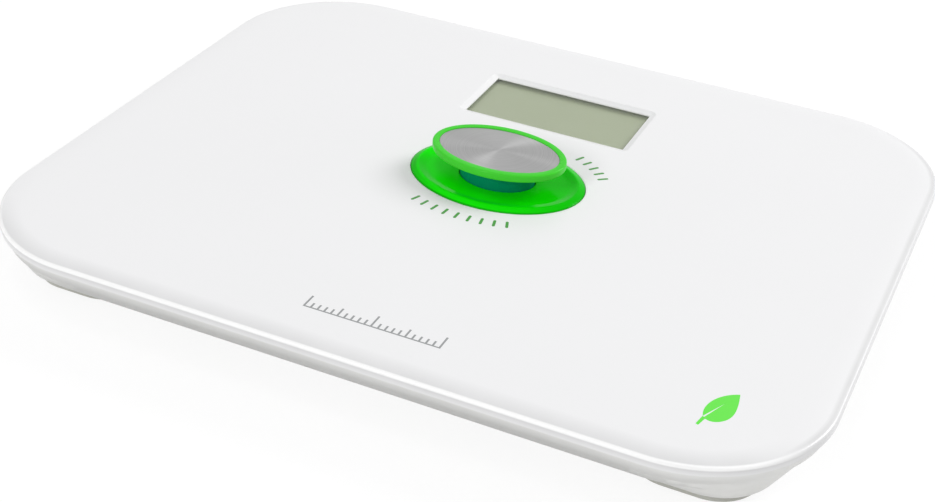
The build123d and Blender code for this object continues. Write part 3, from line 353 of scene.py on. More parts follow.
def add_noise(group, coordinates, scale, detail):
    """Add a noise pattern that is evenly sized over the object."""
    noise = group.nodes.new("ShaderNodeTexNoise")
    noise.inputs["Detail"].default_value = detail
    group.links.new(coordinates, noise.inputs["Vector"])
    if isinstance(scale, bpy.types.NodeSocket):
        group.links.new(scale, noise.inputs["Scale"])
    else:
        noise.inputs["Scale"].default_value = scale
    return noise.outputs[0]


def add_range(group, value, low, high, to_low, to_high):
    """Stretch a value from one range to another, where each limit is a number or a socket."""
    node = group.nodes.new("ShaderNodeMapRange")
    group.links.new(value, node.inputs["Value"])
    for label, limit in zip(("From Min", "From Max", "To Min", "To Max"), (low, high, to_low, to_high)):
        if isinstance(limit, bpy.types.NodeSocket):
            group.links.new(limit, node.inputs[label])
        else:
            node.inputs[label].default_value = limit
    return node.outputs["Result"]


def add_math(group, operation, first, second):
    """Combine two values, each a number or a socket."""
    node = group.nodes.new("ShaderNodeMath")
    node.operation = operation
    for index, value in enumerate((first, second)):
        if isinstance(value, bpy.types.NodeSocket):
            group.links.new(value, node.inputs[index])
        else:
            node.inputs[index].default_value = value
    return node.outputs[0]


def add_mix(group, blend, share, first, second):
    """Mix two colours, each a colour or a socket."""
    node = group.nodes.new("ShaderNodeMix")
    node.data_type = "RGBA"
    node.blend_type = blend
    for index, value in ((0, share), (6, first), (7, second)):
        if isinstance(value, bpy.types.NodeSocket):
            group.links.new(value, node.inputs[index])
        else:
            node.inputs[index].default_value = value
    return node.outputs[2]


# %% Moulded skin
noise_low, noise_high = 0.3, 0.7
skin_group, skin_in, skin_out = new_group(
    "moulded_skin",
    {
        "Colour": (0.8, 0.8, 0.8, 1.0),
        "Tone Spread": 0.015,
        "Roughness": 0.4,
        "Roughness Spread": 0.05,
        "Grain Scale": 1500.0,
        "Grain Depth": 0.00002,
    },
    {"Colour": "Color", "Roughness": "Float", "Normal": "Vector"},
)
skin_place = skin_group.nodes.new("ShaderNodeTexCoord").outputs["Object"]
drift = add_noise(skin_group, skin_place, 9.0, 2.0)
tone_low = add_math(skin_group, "SUBTRACT", 1.0, skin_in.outputs["Tone Spread"])
tone = add_range(skin_group, drift, noise_low, noise_high, tone_low, 1.0)
tone_colour = skin_group.nodes.new("ShaderNodeCombineColor")
for channel in range(3):
    skin_group.links.new(tone, tone_colour.inputs[channel])
toned = add_mix(skin_group, "MULTIPLY", 1.0, skin_in.outputs["Colour"], tone_colour.outputs[0])
patches = add_noise(skin_group, skin_place, 55.0, 3.0)
rough_middle = skin_in.outputs["Roughness"]
rough_spread = skin_in.outputs["Roughness Spread"]
spread_low = add_math(skin_group, "SUBTRACT", rough_middle, rough_spread)
spread_high = add_math(skin_group, "ADD", rough_middle, rough_spread)
skin_rough = add_range(skin_group, patches, noise_low, noise_high, spread_low, spread_high)
grain = add_noise(skin_group, skin_place, skin_in.outputs["Grain Scale"], 2.0)
grain_bump = skin_group.nodes.new("ShaderNodeBump")
skin_group.links.new(grain, grain_bump.inputs["Height"])
skin_group.links.new(skin_in.outputs["Grain Depth"], grain_bump.inputs["Distance"])
skin_group.links.new(toned, skin_out.inputs["Colour"])
skin_group.links.new(skin_rough, skin_out.inputs["Roughness"])
skin_group.links.new(grain_bump.outputs["Normal"], skin_out.inputs["Normal"])
print(skin_group.name, len(skin_group.nodes), "nodes")

# %% Handling marks
marks_group, marks_in, marks_out = new_group(
    "handling_marks",
    {"Roughness": 0.3, "Mark Scale": 60.0, "Mark Strength": 0.08},
    {"Roughness": "Float", "Mask": "Float"},
)
marks_place = marks_group.nodes.new("ShaderNodeTexCoord").outputs["Object"]
blots = add_noise(marks_group, marks_place, marks_in.outputs["Mark Scale"], 4.0)
marks_mask = add_range(marks_group, blots, 0.52, 0.68, 0.0, 1.0)
marks_added = add_math(marks_group, "MULTIPLY", marks_mask, marks_in.outputs["Mark Strength"])
marked = add_math(marks_group, "ADD", marks_in.outputs["Roughness"], marks_added)
marks_group.links.new(marked, marks_out.inputs["Roughness"])
marks_group.links.new(marks_mask, marks_out.inputs["Mask"])
print(marks_group.name, len(marks_group.nodes), "nodes")

# %% Settled dust
dust_group, dust_in, dust_out = new_group(
    "settled_dust",
    {"Colour": (0.8, 0.8, 0.8, 1.0), "Dust Colour": screen(150, 146, 134), "Amount": 0.3, "Reach": 0.02},
    {"Colour": "Color", "Mask": "Float"},
)
dust_place = dust_group.nodes.new("ShaderNodeTexCoord").outputs["Object"]
dust_height = dust_group.nodes.new("ShaderNodeSeparateXYZ")
dust_group.links.new(dust_place, dust_height.inputs[0])
low_share = add_range(dust_group, dust_height.outputs["Z"], 0.0, dust_in.outputs["Reach"], 1.0, 0.0)
specks = add_range(dust_group, add_noise(dust_group, dust_place, 260.0, 5.0), 0.4, 0.7, 0.35, 1.0)
dust_mask = add_math(dust_group, "MULTIPLY", low_share, specks)
dust_share = add_math(dust_group, "MULTIPLY", dust_mask, dust_in.outputs["Amount"])
dusted = add_mix(dust_group, "MIX", dust_share, dust_in.outputs["Colour"], dust_in.outputs["Dust Colour"])
dust_group.links.new(dusted, dust_out.inputs["Colour"])
dust_group.links.new(dust_mask, dust_out.inputs["Mask"])
print(dust_group.name, len(dust_group.nodes), "nodes")

# %% [markdown]
# In the photograph a bright line runs along the rim, the near rim is greyer on both sides of it, and a grey
# band follows the right edge. Light on the shape gives only part of that, so these are painted: the bright
# line is a painted highlight, and the greyer near rim, a thin grey line along the other edges and the grey
# band are painted shade. They go by the distance in from the edge of the platform's round-cornered
# outline, and by height.

# %% Painted rim highlight and shade
platform_size = (310.0, 251.5)
platform_corner = 48.9
rim_light_group, rim_in, rim_out = new_group(
    "rim_painted_light",
    {
        "Colour": (0.8, 0.8, 0.8, 1.0),
        "Rim Shade Colour": (0.5, 0.5, 0.5, 1.0),
        "Bead Highlight Colour": (0.99, 0.99, 0.99, 1.0),
        "Amount": 0.5,
        "Width": 0.008,
    },
    {"Colour": "Color", "Mask": "Float"},
)


def add_vector_math(group, operation, first, second=None):
    """Combine two vectors, the second a plain one."""
    node = group.nodes.new("ShaderNodeVectorMath")
    node.operation = operation
    group.links.new(first, node.inputs[0])
    if second is not None:
        node.inputs[1].default_value = second
    return node.outputs["Value" if operation == "LENGTH" else "Vector"]


def rim_fade(value, low, high, at_low, at_high):
    """Blend from one share to another between two places, in millimetres."""
    return add_range(rim_light_group, value, low * MM, high * MM, at_low, at_high)


def rim_math(operation, first, second):
    """Combine two shares of the rim's painted highlight and shade."""
    return add_math(rim_light_group, operation, first, second)


rim_place = rim_light_group.nodes.new("ShaderNodeTexCoord").outputs["Object"]
mirrored = add_vector_math(rim_light_group, "ABSOLUTE", rim_place)
corner_middle = (*[(size / 2 - platform_corner) * MM for size in platform_size], 0)
past_corner = add_vector_math(rim_light_group, "SUBTRACT", mirrored, corner_middle)
outward = add_vector_math(rim_light_group, "MAXIMUM", past_corner, (0, 0, 0))
level_out = add_vector_math(rim_light_group, "MULTIPLY", outward, (1, 1, 0))
from_corner = add_vector_math(rim_light_group, "LENGTH", level_out)
edge_distance = rim_math("SUBTRACT", platform_corner * MM, from_corner)
slope_share = add_range(rim_light_group, edge_distance, 1.0 * MM, rim_in.outputs["Width"], 1.0, 0.0)
bead_share = rim_fade(edge_distance, 0.7, 1.3, 0.0, 1.0)
rim_split = rim_light_group.nodes.new("ShaderNodeSeparateXYZ")
rim_light_group.links.new(rim_place, rim_split.inputs[0])
rim_x, rim_y, rim_z = rim_split.outputs
near_share = rim_fade(rim_y, -95.0, -115.0, 0.0, 1.0)
rim_noise = add_noise(rim_light_group, rim_place, 70.0, 3.0)
rim_patches = add_range(rim_light_group, rim_noise, noise_low, noise_high, 0.8, 1.0)
# Painted shade: the near rim's slope, the top of the wall, a thin grey line along the other edges and a band
# along the right edge.
slope_shade_mask = rim_math("MULTIPLY", slope_share, bead_share)
wall_top = rim_fade(rim_z, 25.4, 24.9, 0.0, 1.0)
wall_fade = rim_fade(rim_z, 24.9, 23.4, 1.0, 0.25)
wall_share = rim_fade(edge_distance, 0.3, 0.6, 1.0, 0.0)
wall_shade_mask = rim_math("MULTIPLY", rim_math("MULTIPLY", wall_top, wall_fade), wall_share)
slope_shade_mask = rim_math("MULTIPLY", slope_shade_mask, near_share)
elsewhere = rim_math("SUBTRACT", 1.0, near_share)
outline = rim_fade(edge_distance, 0.6, 1.2, 1.0, 0.0)
outline = rim_math("MULTIPLY", outline, elsewhere)
right_share = rim_fade(rim_x, 125.0, 145.0, 0.0, 1.0)
right_share = rim_math("MULTIPLY", right_share, elsewhere)
right_shade_band = rim_fade(edge_distance, 1.8, 3.2, 1.0, 0.0)
right_shade_band = rim_math("MULTIPLY", right_shade_band, right_share)
rim_shade_mask = rim_math("MAXIMUM", slope_shade_mask, wall_shade_mask)
rim_shade_mask = rim_math("MAXIMUM", rim_shade_mask, rim_math("MAXIMUM", outline, right_shade_band))
rim_shade_mask = rim_math("MULTIPLY", rim_shade_mask, rim_patches)
rim_shade_share = rim_math("MULTIPLY", rim_shade_mask, rim_in.outputs["Amount"])
# Painted highlight: a bright bead on the rim's arc, left out along the right edge.
bead_low = rim_fade(rim_z, 24.9, 25.5, 0.0, 1.0)
bead_highlight_mask = rim_math("MULTIPLY", bead_low, rim_math("SUBTRACT", 1.0, bead_share))
bead_highlight_mask = rim_math("MULTIPLY", bead_highlight_mask, rim_math("SUBTRACT", 1.0, right_share))
bead_highlighted = add_mix(rim_light_group, "MIX", bead_highlight_mask, rim_in.outputs["Colour"], rim_in.outputs["Bead Highlight Colour"])
rim_shaded = add_mix(rim_light_group, "MIX", rim_shade_share, bead_highlighted, rim_in.outputs["Rim Shade Colour"])
rim_light_group.links.new(rim_shaded, rim_out.inputs["Colour"])
rim_light_group.links.new(rim_shade_mask, rim_out.inputs["Mask"])
print(rim_light_group.name, len(rim_light_group.nodes), "nodes")

# %% Metal lines
metal_group, metal_in, metal_out = new_group(
    "metal_lines",
    {
        "Colour": (0.7, 0.7, 0.7, 1.0),
        "Tone Spread": 0.08,
        "Roughness": 0.3,
        "Line Scale": 900.0,
        "Stretch": 0.03,
        "Line Depth": 0.00001,
    },
    {"Colour": "Color", "Roughness": "Float", "Normal": "Vector"},
)
metal_place = metal_group.nodes.new("ShaderNodeTexCoord").outputs["Object"]
metal_split = metal_group.nodes.new("ShaderNodeSeparateXYZ")
metal_group.links.new(metal_place, metal_split.inputs[0])
metal_join = metal_group.nodes.new("ShaderNodeCombineXYZ")
stretched = add_math(metal_group, "MULTIPLY", metal_split.outputs["X"], metal_in.outputs["Stretch"])
metal_group.links.new(stretched, metal_join.inputs["X"])
metal_group.links.new(metal_split.outputs["Y"], metal_join.inputs["Y"])
metal_group.links.new(metal_split.outputs["Z"], metal_join.inputs["Z"])
lines = add_noise(metal_group, metal_join.outputs[0], metal_in.outputs["Line Scale"], 3.0)
line_low = add_math(metal_group, "SUBTRACT", 1.0, metal_in.outputs["Tone Spread"])
line_tone = add_range(metal_group, lines, noise_low, noise_high, line_low, 1.0)
line_colour = metal_group.nodes.new("ShaderNodeCombineColor")
for channel in range(3):
    metal_group.links.new(line_tone, line_colour.inputs[channel])
lined = add_mix(metal_group, "MULTIPLY", 1.0, metal_in.outputs["Colour"], line_colour.outputs[0])
line_rough = add_range(metal_group, lines, noise_low, noise_high, 0.85, 1.15)
metal_rough = add_math(metal_group, "MULTIPLY", line_rough, metal_in.outputs["Roughness"])
line_bump = metal_group.nodes.new("ShaderNodeBump")
metal_group.links.new(lines, line_bump.inputs["Height"])
metal_group.links.new(metal_in.outputs["Line Depth"], line_bump.inputs["Distance"])
metal_group.links.new(lined, metal_out.inputs["Colour"])
metal_group.links.new(metal_rough, metal_out.inputs["Roughness"])
metal_group.links.new(line_bump.outputs["Normal"], metal_out.inputs["Normal"])
print(metal_group.name, len(metal_group.nodes), "nodes")


# %% [markdown]
# ## Materials
#
# Each finish is one material. It keeps its own shader, where numbers that are the same all over are set,
# and takes what varies from the shared groups. White plastic is a soft satin with a painted highlight and
# painted shade along the rim, and the plate on the cap is spun metal. The greens take little of the white
# room's gloss, which would pale them, and the dish has a faint painted glow, which stands in for light,
# because it looks brighter in the photograph than the light here makes it.

# %% Material helpers
materials = {}


def new_material(name, shader_values=None):
    """Make a material with an empty shader and set the values that are the same all over."""
    material = bpy.data.materials.new(name)
    material.use_nodes = True
    nodes = material.node_tree.nodes
    nodes.clear()
    shader = nodes.new("ShaderNodeBsdfPrincipled")
    out = nodes.new("ShaderNodeOutputMaterial")
    material.node_tree.links.new(shader.outputs["BSDF"], out.inputs["Surface"])
    for label, value in (shader_values or {}).items():
        shader.inputs[label].default_value = value
    materials[name] = material
    return material, shader


def place_group(material, group, values):
    """Place a shared group in a material and set its inputs, each a value or a socket."""
    node = material.node_tree.nodes.new("ShaderNodeGroup")
    node.node_tree = group
    for label, value in values.items():
        if isinstance(value, bpy.types.NodeSocket):
            material.node_tree.links.new(value, node.inputs[label])
        else:
            node.inputs[label].default_value = value
    return node


def plastic(
    name, colour, roughness, grain=1500.0, depth=0.00002, dust=0.0, tone=0.015, rim=0.0, shader_values=None
):
    """Moulded plastic or rubber with its skin, dust low down and, where asked for, a painted rim highlight
    and shade.
    """
    material, shader = new_material(name, shader_values)
    skin = place_group(
        material,
        skin_group,
        {
            "Colour": colour,
            "Roughness": roughness,
            "Grain Scale": grain,
            "Grain Depth": depth,
            "Tone Spread": tone,
        },
    )
    links = material.node_tree.links
    links.new(skin.outputs["Roughness"], shader.inputs["Roughness"])
    links.new(skin.outputs["Normal"], shader.inputs["Normal"])
    seen_colour = skin.outputs["Colour"]
    if dust > 0:
        layer = place_group(material, dust_group, {"Colour": seen_colour, "Amount": dust})
        seen_colour = layer.outputs["Colour"]
    if rim > 0:
        layer = place_group(material, rim_light_group, {"Colour": seen_colour, "Amount": rim})
        seen_colour = layer.outputs["Colour"]
    links.new(seen_colour, shader.inputs["Base Color"])
    return material


def metal(name, colour, roughness, scale=900.0, stretch=0.03, depth=0.00001, tone=0.08):
    """Bare metal with drawn or turned lines."""
    material, shader = new_material(name, {"Metallic": 1.0})
    lined = place_group(
        material,
        metal_group,
        {
            "Colour": colour,
            "Roughness": roughness,
            "Line Scale": scale,
            "Stretch": stretch,
            "Line Depth": depth,
            "Tone Spread": tone,
        },
    )
    links = material.node_tree.links
    links.new(lined.outputs["Colour"], shader.inputs["Base Color"])
    links.new(lined.outputs["Roughness"], shader.inputs["Roughness"])
    links.new(lined.outputs["Normal"], shader.inputs["Normal"])
    return material


# %% Plastics and rubbers
soft = {"Specular IOR Level": 0.12}
# The dish's faint green emission is a painted glow that stands in for light.
painted_glow = {"Specular IOR Level": 0.05, "Emission Color": (0.003, 1.0, 0.0, 1.0), "Emission Strength": 0.03}
# rim= sets the share of painted highlight and painted shade along the platform's rim.
plastic("housing_white", screen(236, 236, 237), 0.34, grain=2200.0, depth=0.000006, tone=0.01, rim=0.42)
plastic("shell_grey", screen(226, 226, 224), 0.5, grain=1800.0, depth=0.00002, dust=0.2, rim=0.1)
plastic("dish_green", screen(14, 236, 0), 0.2, depth=0.000004, shader_values=painted_glow)
plastic("cap_green", screen(66, 206, 48), 0.3, depth=0.000005, shader_values=soft)
plastic("neck_green", screen(0, 138, 108), 0.28, depth=0.000005, shader_values=soft)
plastic("frame_plastic", screen(226, 226, 216), 0.45)
plastic("rack_plastic", screen(232, 231, 220), 0.38)
plastic("gear_plastic", screen(236, 233, 220), 0.36)
plastic("retainer_grey", screen(140, 143, 146), 0.5)
plastic("foot_grey", screen(196, 197, 190), 0.48, grain=1600.0, depth=0.00003, dust=0.4)
plastic("pad_rubber", screen(150, 151, 144), 0.78, grain=1300.0, depth=0.00006, dust=0.4, tone=0.05)
plastic("elastomer", screen(78, 78, 80), 0.7, grain=900.0, depth=0.00004)
plastic("chip_black", screen(24, 24, 26), 0.35, grain=500.0, depth=0.00005)
plastic("capacitor", screen(28, 34, 60), 0.3)
plastic("diode", screen(22, 22, 22), 0.35)
plastic("gauge_seal", screen(236, 236, 230), 0.5, grain=300.0, depth=0.00008)
plastic("lead_white", screen(220, 220, 216), 0.5)
plastic("lcd_foil", screen(190, 192, 182), 0.6)
plastic("leaf_ink", screen(98, 226, 66), 0.4, grain=2600.0, depth=0.000006, tone=0.04)
plastic("scale_ink", screen(150, 152, 153), 0.45, grain=2600.0, depth=0.000006, tone=0.05)
plastic("dash_ink", screen(74, 150, 66), 0.45, grain=2600.0, depth=0.000006, tone=0.05)
plastic("board_green", screen(16, 88, 44), 0.3, grain=700.0, depth=0.00002, tone=0.1)
print(len(materials), "plastic finishes")

# %% [markdown]
# In the photograph the dish's green is deeper at its edge and towards its right end. That is taken to be
# the studio's light and not the dish's own colour, and it is painted here. The tone is worked out from
# the distance to the oval's middle, measured in the oval's own half sizes.

# %% Painted shade on the dish
button_centre = (1.6, 5.2)
dish_body = (34.7, 25.7)
dish_shade_green = screen(0, 96, 0)
dish_tree = materials["dish_green"].node_tree
dish_shader = next(node for node in dish_tree.nodes if node.type == "BSDF_PRINCIPLED")
dish_plain = dish_shader.inputs["Base Color"].links[0].from_socket
dish_place = dish_tree.nodes.new("ShaderNodeTexCoord").outputs["Object"]
dish_frame = dish_tree.nodes.new("ShaderNodeMapping")
dish_frame.inputs["Scale"].default_value = (*[1 / (half * MM) for half in dish_body], 0)
dish_shift = [-middle / half for middle, half in zip(button_centre, dish_body)]
dish_frame.inputs["Location"].default_value = (*dish_shift, 0)
dish_tree.links.new(dish_place, dish_frame.inputs["Vector"])
from_middle = add_vector_math(dish_tree, "LENGTH", dish_frame.outputs[0])
dish_split = dish_tree.nodes.new("ShaderNodeSeparateXYZ")
dish_tree.links.new(dish_frame.outputs[0], dish_split.inputs[0])
dish_x = dish_split.outputs["X"]
to_the_side = add_math(dish_tree, "ABSOLUTE", dish_x, 0.0)
end_share = add_range(dish_tree, to_the_side, 0.4, 0.9, 0.0, 1.0)
dish_bevel_shade = add_range(dish_tree, from_middle, 0.92, 0.95, 0.0, 0.45)
dish_bevel_shade = add_math(dish_tree, "MULTIPLY", dish_bevel_shade, end_share)
# Painted shade: darker towards the right end, on the outer bevel at both ends and in a thin line along the
# edge.
right_end_shade = add_range(dish_tree, dish_x, 0.0, 0.95, 0.0, 0.5)
dish_edge_shade = add_range(dish_tree, from_middle, 0.975, 0.99, 0.0, 0.6)
dish_shade_share = add_math(dish_tree, "MAXIMUM", dish_bevel_shade, right_end_shade)
dish_shade_share = add_math(dish_tree, "MAXIMUM", dish_shade_share, dish_edge_shade)
dish_shaded = add_mix(dish_tree, "MIX", dish_shade_share, dish_plain, dish_shade_green)
dish_tree.links.new(dish_shaded, dish_shader.inputs["Base Color"])
print("dish", len(dish_tree.nodes), "nodes")

# %% Metals
metal("screw_steel", screen(186, 186, 188), 0.32)
metal("spring_steel", screen(176, 176, 180), 0.28, stretch=1.0)
metal("axle_steel", screen(196, 196, 200), 0.22, stretch=1.0)
metal("can_steel", screen(198, 198, 198), 0.35)
metal("copper", screen(206, 120, 72), 0.3, scale=2500.0, stretch=1.0, depth=0.00004, tone=0.3)
metal("magnet", screen(60, 60, 62), 0.55, tone=0.2)
metal("cell_steel", screen(190, 191, 194), 0.3)
print(len(materials), "finishes with the metals")

# %% [markdown]
# The plate on the button is spun: fine rings round its middle bend each reflection into a pair of fans.
# Anisotropy with a radial tangent gives those fans, and a noise that depends only on the distance from
# the middle gives the rings themselves.

# %% Spun metal plate
disc_material, disc_shader = new_material("disc_metal", {"Metallic": 1.0, "Anisotropic": 0.9})
disc_nodes = disc_material.node_tree.nodes
disc_links = disc_material.node_tree.links
disc_place = disc_nodes.new("ShaderNodeTexCoord").outputs["Object"]
disc_centre = disc_nodes.new("ShaderNodeMapping")
disc_centre.inputs["Location"].default_value = (*[-middle * MM for middle in button_centre], 0)
disc_links.new(disc_place, disc_centre.inputs["Vector"])
disc_flat = disc_nodes.new("ShaderNodeVectorMath")
disc_flat.operation = "MULTIPLY"
disc_flat.inputs[1].default_value = (1, 1, 0)
disc_links.new(disc_centre.outputs[0], disc_flat.inputs[0])
disc_radius = disc_nodes.new("ShaderNodeVectorMath")
disc_radius.operation = "LENGTH"
disc_links.new(disc_flat.outputs[0], disc_radius.inputs[0])
disc_rings = disc_nodes.new("ShaderNodeTexNoise")
disc_rings.noise_dimensions = "1D"
disc_rings.inputs["Scale"].default_value = 2600.0
disc_rings.inputs["Detail"].default_value = 3.0
disc_links.new(disc_radius.outputs["Value"], disc_rings.inputs["W"])
disc_tone = disc_nodes.new("ShaderNodeMapRange")
disc_tone.inputs["From Min"].default_value = noise_low
disc_tone.inputs["From Max"].default_value = noise_high
disc_tone.inputs["To Min"].default_value = 0.36
disc_tone.inputs["To Max"].default_value = 0.44
disc_links.new(disc_rings.outputs[0], disc_tone.inputs["Value"])
disc_colour = disc_nodes.new("ShaderNodeCombineColor")
for channel in range(3):
    disc_links.new(disc_tone.outputs["Result"], disc_colour.inputs[channel])
disc_links.new(disc_colour.outputs[0], disc_shader.inputs["Base Color"])
disc_marks = place_group(disc_material, marks_group, {"Roughness": 0.3, "Mark Strength": 0.05})
disc_links.new(disc_marks.outputs["Roughness"], disc_shader.inputs["Roughness"])
disc_tangent = disc_nodes.new("ShaderNodeTangent")
disc_tangent.direction_type = "RADIAL"
disc_tangent.axis = "Z"
disc_links.new(disc_tangent.outputs[0], disc_shader.inputs["Tangent"])
print("spun plate", len(disc_nodes), "nodes")

# %% [markdown]
# The display is a grey-green panel behind a clear pane. The pane is nearly see-through, so that light
# still reaches the panel, and its gloss carries a few finger marks.

# %% Display panel and pane
plastic("lcd_glass", screen(148, 158, 122), 0.32, grain=3000.0, depth=0.000004, tone=0.02)
pane_material, pane_shader = new_material("clear_window", {"Alpha": 0.1, "Base Color": screen(235, 240, 232)})
pane_marks = place_group(pane_material, marks_group, {"Roughness": 0.08, "Mark Strength": 0.1})
pane_material.node_tree.links.new(pane_marks.outputs["Roughness"], pane_shader.inputs["Roughness"])
print(len(materials), "finishes in all")

# %% [markdown]
# ## Platform
#
# The platform is one moulding: a side wall, a rim with a radius of about a millimetre, and a top that
# rises over the last twelve millimetres to its flat middle. It starts as a flat face with round corners
# at the wall's foot. That face is lifted, then drawn in along the rim's arc and along the rise.

# %% Platform outside
wall_foot = 23.0
flat_top = 27.0
skin_inner = 24.5
roll_width = 12.0
roll_drop = 0.8
rim_radius = 1.2
rim_steps = 6
corner_steps = 26
oval_steps = 144


def roll_height(inset):
    """Height of the top's gentle rise at a distance in from the edge."""
    return flat_top - roll_drop * max(0.0, (roll_width - inset) / roll_width) ** 3


rim_slope = 3 * roll_drop * (roll_width - rim_radius) ** 2 / roll_width**3
rim_end = sqrt(1 / (1 + rim_slope**2))
rim_centre = roll_height(rim_radius * (1 - rim_slope * rim_end)) - rim_radius * rim_end
section = [(0.0, rim_centre)]
for part in range(1, rim_steps + 1):
    angle = part / rim_steps * (pi / 2 - rim_slope)
    section.append((rim_radius * (1 - cos(angle)), rim_centre + rim_radius * sin(angle)))
for inset in (1.5, 2.2, 3.1, 4.2, 5.4, 6.8, 8.4, 10.0, 12.0):
    section.append((inset, roll_height(inset)))

platform = start_piece("platform_shell")
add_rounded_face(platform_size, platform_corner, (0, 0), wall_foot, corner_steps)
bpy.ops.mesh.extrude_region_move(TRANSFORM_OT_translate={"value": (0, 0, (rim_centre - wall_foot) * MM)})
for before, after in zip(section, section[1:]):
    step(after[0] - before[0], after[1] - before[1])
bpy.ops.mesh.delete(type="ONLY_FACE")
print("platform section has", len(section), "steps")

# %% [markdown]
# The underside starts from the same face: it is drawn in by the wall's thickness and pushed up to form
# the ceiling. The display opening widens below into a seat for the clear pane. It and the dish opening
# are drawn down between the two, and the flat areas that are left are filled round them.

# %% Platform inside and openings
wall_thickness = 2.5
pick_faces(platform, lambda centre, normal: abs(centre.z - wall_foot * MM) < merge_gap)
bpy.ops.mesh.inset(thickness=wall_thickness * MM)
bpy.ops.mesh.extrude_region_move(TRANSFORM_OT_translate={"value": (0, 0, (skin_inner - wall_foot) * MM)})
bpy.ops.mesh.delete(type="ONLY_FACE")

display_centre = (1.6, 67.6)
window_size = (73.2, 37.7)
window_corner = 3.4
flat_ring = 0.7
ring_gap = 0.25
bevel_width = 2.2
bevel_depth = 0.9
bevel_lip = 0.12
pane_top = 25.6
pane_seat = (76.6, 40.8)
bpy.ops.mesh.select_mode(type="VERT")
ring_size = [size + 2 * (flat_ring + ring_gap) for size in window_size]
add_rounded_face(ring_size, window_corner, display_centre, flat_top, 8)
step(flat_ring, 0.0)
bevel_slope = (bevel_width - 0.15, 0.15 - bevel_depth)
for inset, rise in ((0.08, -0.03), (0.17, -0.12), bevel_slope, (0.1, -bevel_lip)):
    step(inset, rise)
step(0.05, pane_top - flat_top + bevel_depth + bevel_lip)
land = [size - 2 * bevel_width for size in window_size]
middle = (display_centre[0] * MM, display_centre[1] * MM, pane_top * MM)
bpy.ops.mesh.extrude_region_move()
wider = (pane_seat[0] / land[0], pane_seat[1] / land[1], 1)
bpy.ops.transform.resize(value=wider, center_override=middle)
bpy.ops.mesh.extrude_region_move(TRANSFORM_OT_translate={"value": (0, 0, (skin_inner - pane_top) * MM)})
bpy.ops.mesh.delete(type="ONLY_FACE")

dish_half = (34.9, 25.9)
hole_steps = ((flat_ring + ring_gap, 0.0), (ring_gap, 0.0), (0.07, 0.07), (0.0, 0.25))
dish_hole = [(dish_half[0] + out, dish_half[1] + out, flat_top - down) for out, down in hole_steps]
dish_hole += [(*dish_half, skin_inner)]
draw_rings(dish_hole, button_centre, oval_steps, filled=False)
for height in (flat_top, skin_inner):
    print("edges to fill round at", height, "mm:", pick_open_edges(platform, height))
    bpy.ops.mesh.fill(use_beauty=True)
close_piece(platform, 30)
hand_over(platform, "housing", "housing_white", materials["housing_white"], "platform")

# %% [markdown]
# Under the skin, thin ribs keep the platform stiff and bosses take the screws. They are plain blocks
# and drilled posts, sunk a little into the skin so that they read as one moulding.

# %% Platform ribs and bosses
rib_foot = 21.5
rib_half = 0.8
rib_inset = 5.0
sunk = 0.3
rib_top = skin_inner + sunk
display_zone = (-50.4, 53.6)
dish_clear = -32.0
post_tip = 0.01


def rib_reach(offset, across, along):
    """Half length of a rib at an offset from the middle, up to the round-cornered wall."""
    radius = platform_corner - rib_inset
    rise = max(0.0, offset - (across / 2 - platform_corner))
    return along / 2 - platform_corner + sqrt(radius**2 - rise**2)


def add_post(place, bore, bore_top, outer, foot, ring_steps):
    """Add a drilled post that hangs from the skin, from a bore radius and an outer radius."""
    rings = [(post_tip, post_tip, bore_top), (bore, bore, bore_top), (bore, bore, foot)]
    rings += [(outer, outer, foot), (outer, outer, rib_top), (post_tip, post_tip, rib_top)]
    draw_rings(rings, place, ring_steps, filled=False)


ribs = start_piece("platform_ribs")
length, depth = platform_size
for y in (-100.0, -70.0, -40.0, 100.0):
    reach = rib_reach(abs(y), depth, length)
    add_block((-reach, y - rib_half, rib_foot), (reach, y + rib_half, rib_top))
for y in (-5.0, 30.0, 65.0):
    reach = rib_reach(y, depth, length)
    add_block((-reach, y - rib_half, rib_foot), (display_zone[0], y + rib_half, rib_top))
    add_block((display_zone[1], y - rib_half, rib_foot), (reach, y + rib_half, rib_top))
for x in (-134.0, -100.0, -66.0, 66.0, 100.0, 134.0):
    reach = rib_reach(abs(x), length, depth)
    add_block((x - rib_half, -reach, rib_foot), (x + rib_half, reach, rib_top))
for x in (-33.0, 0.0, 33.0):
    reach = rib_reach(0.0, length, depth)
    add_block((x - rib_half, -reach, rib_foot), (x + rib_half, dish_clear, rib_top))
for place in ((58, 104), (-58, 104), (58, -104), (-58, -104), (132, 0), (-132, 0), (0, 104), (0, -104)):
    add_post(place, 1.45, skin_inner - 0.7, 4.0, 18.3, 24)
for i in (-1, 1):
    for j in (-1, 1):
        place = (display_centre[0] + 43.2 * i, display_centre[1] + 18.0 * j)
        add_post(place, 1.15, 23.5, 2.6, 19.3, 20)
close_piece(ribs, 30)
hand_over(ribs, "housing", "housing_white", materials["housing_white"], "platform")

# %% [markdown]
# ## Lower shell and feet
#
# The lower shell keeps its measured shape: a wall that leans in, a shallow belly and four boots. Its
# triangles are merged so that the boots shade as smooth bowls. The foot cups are treated the same way.

# %% Lower shell and foot cups
shell = merged_copy("base_shell", "lower_shell", smooth_angle=50)
hand_over(shell, "housing", "shell_grey", materials["shell_grey"], "base_shell")
foot_middle = (115.2, 84.8)
corners = {"front_left": (-1, -1), "front_right": (1, -1), "rear_left": (-1, 1), "rear_right": (1, 1)}
for corner in corners:
    cup = merged_copy(f"foot_cup_{corner}", f"cup_{corner}")
    hand_over(cup, f"foot_{corner}", "foot_grey", materials["foot_grey"], f"foot_cup_{corner}")

# %% [markdown]
# Each foot stands on a soft pad. Such pads often have grooves for grip, so it is drawn as a face with
# round corners that is pushed down, then inset again and again with a small groove between the lands.
# One pad is modelled, and the other three are copies with their own mesh.

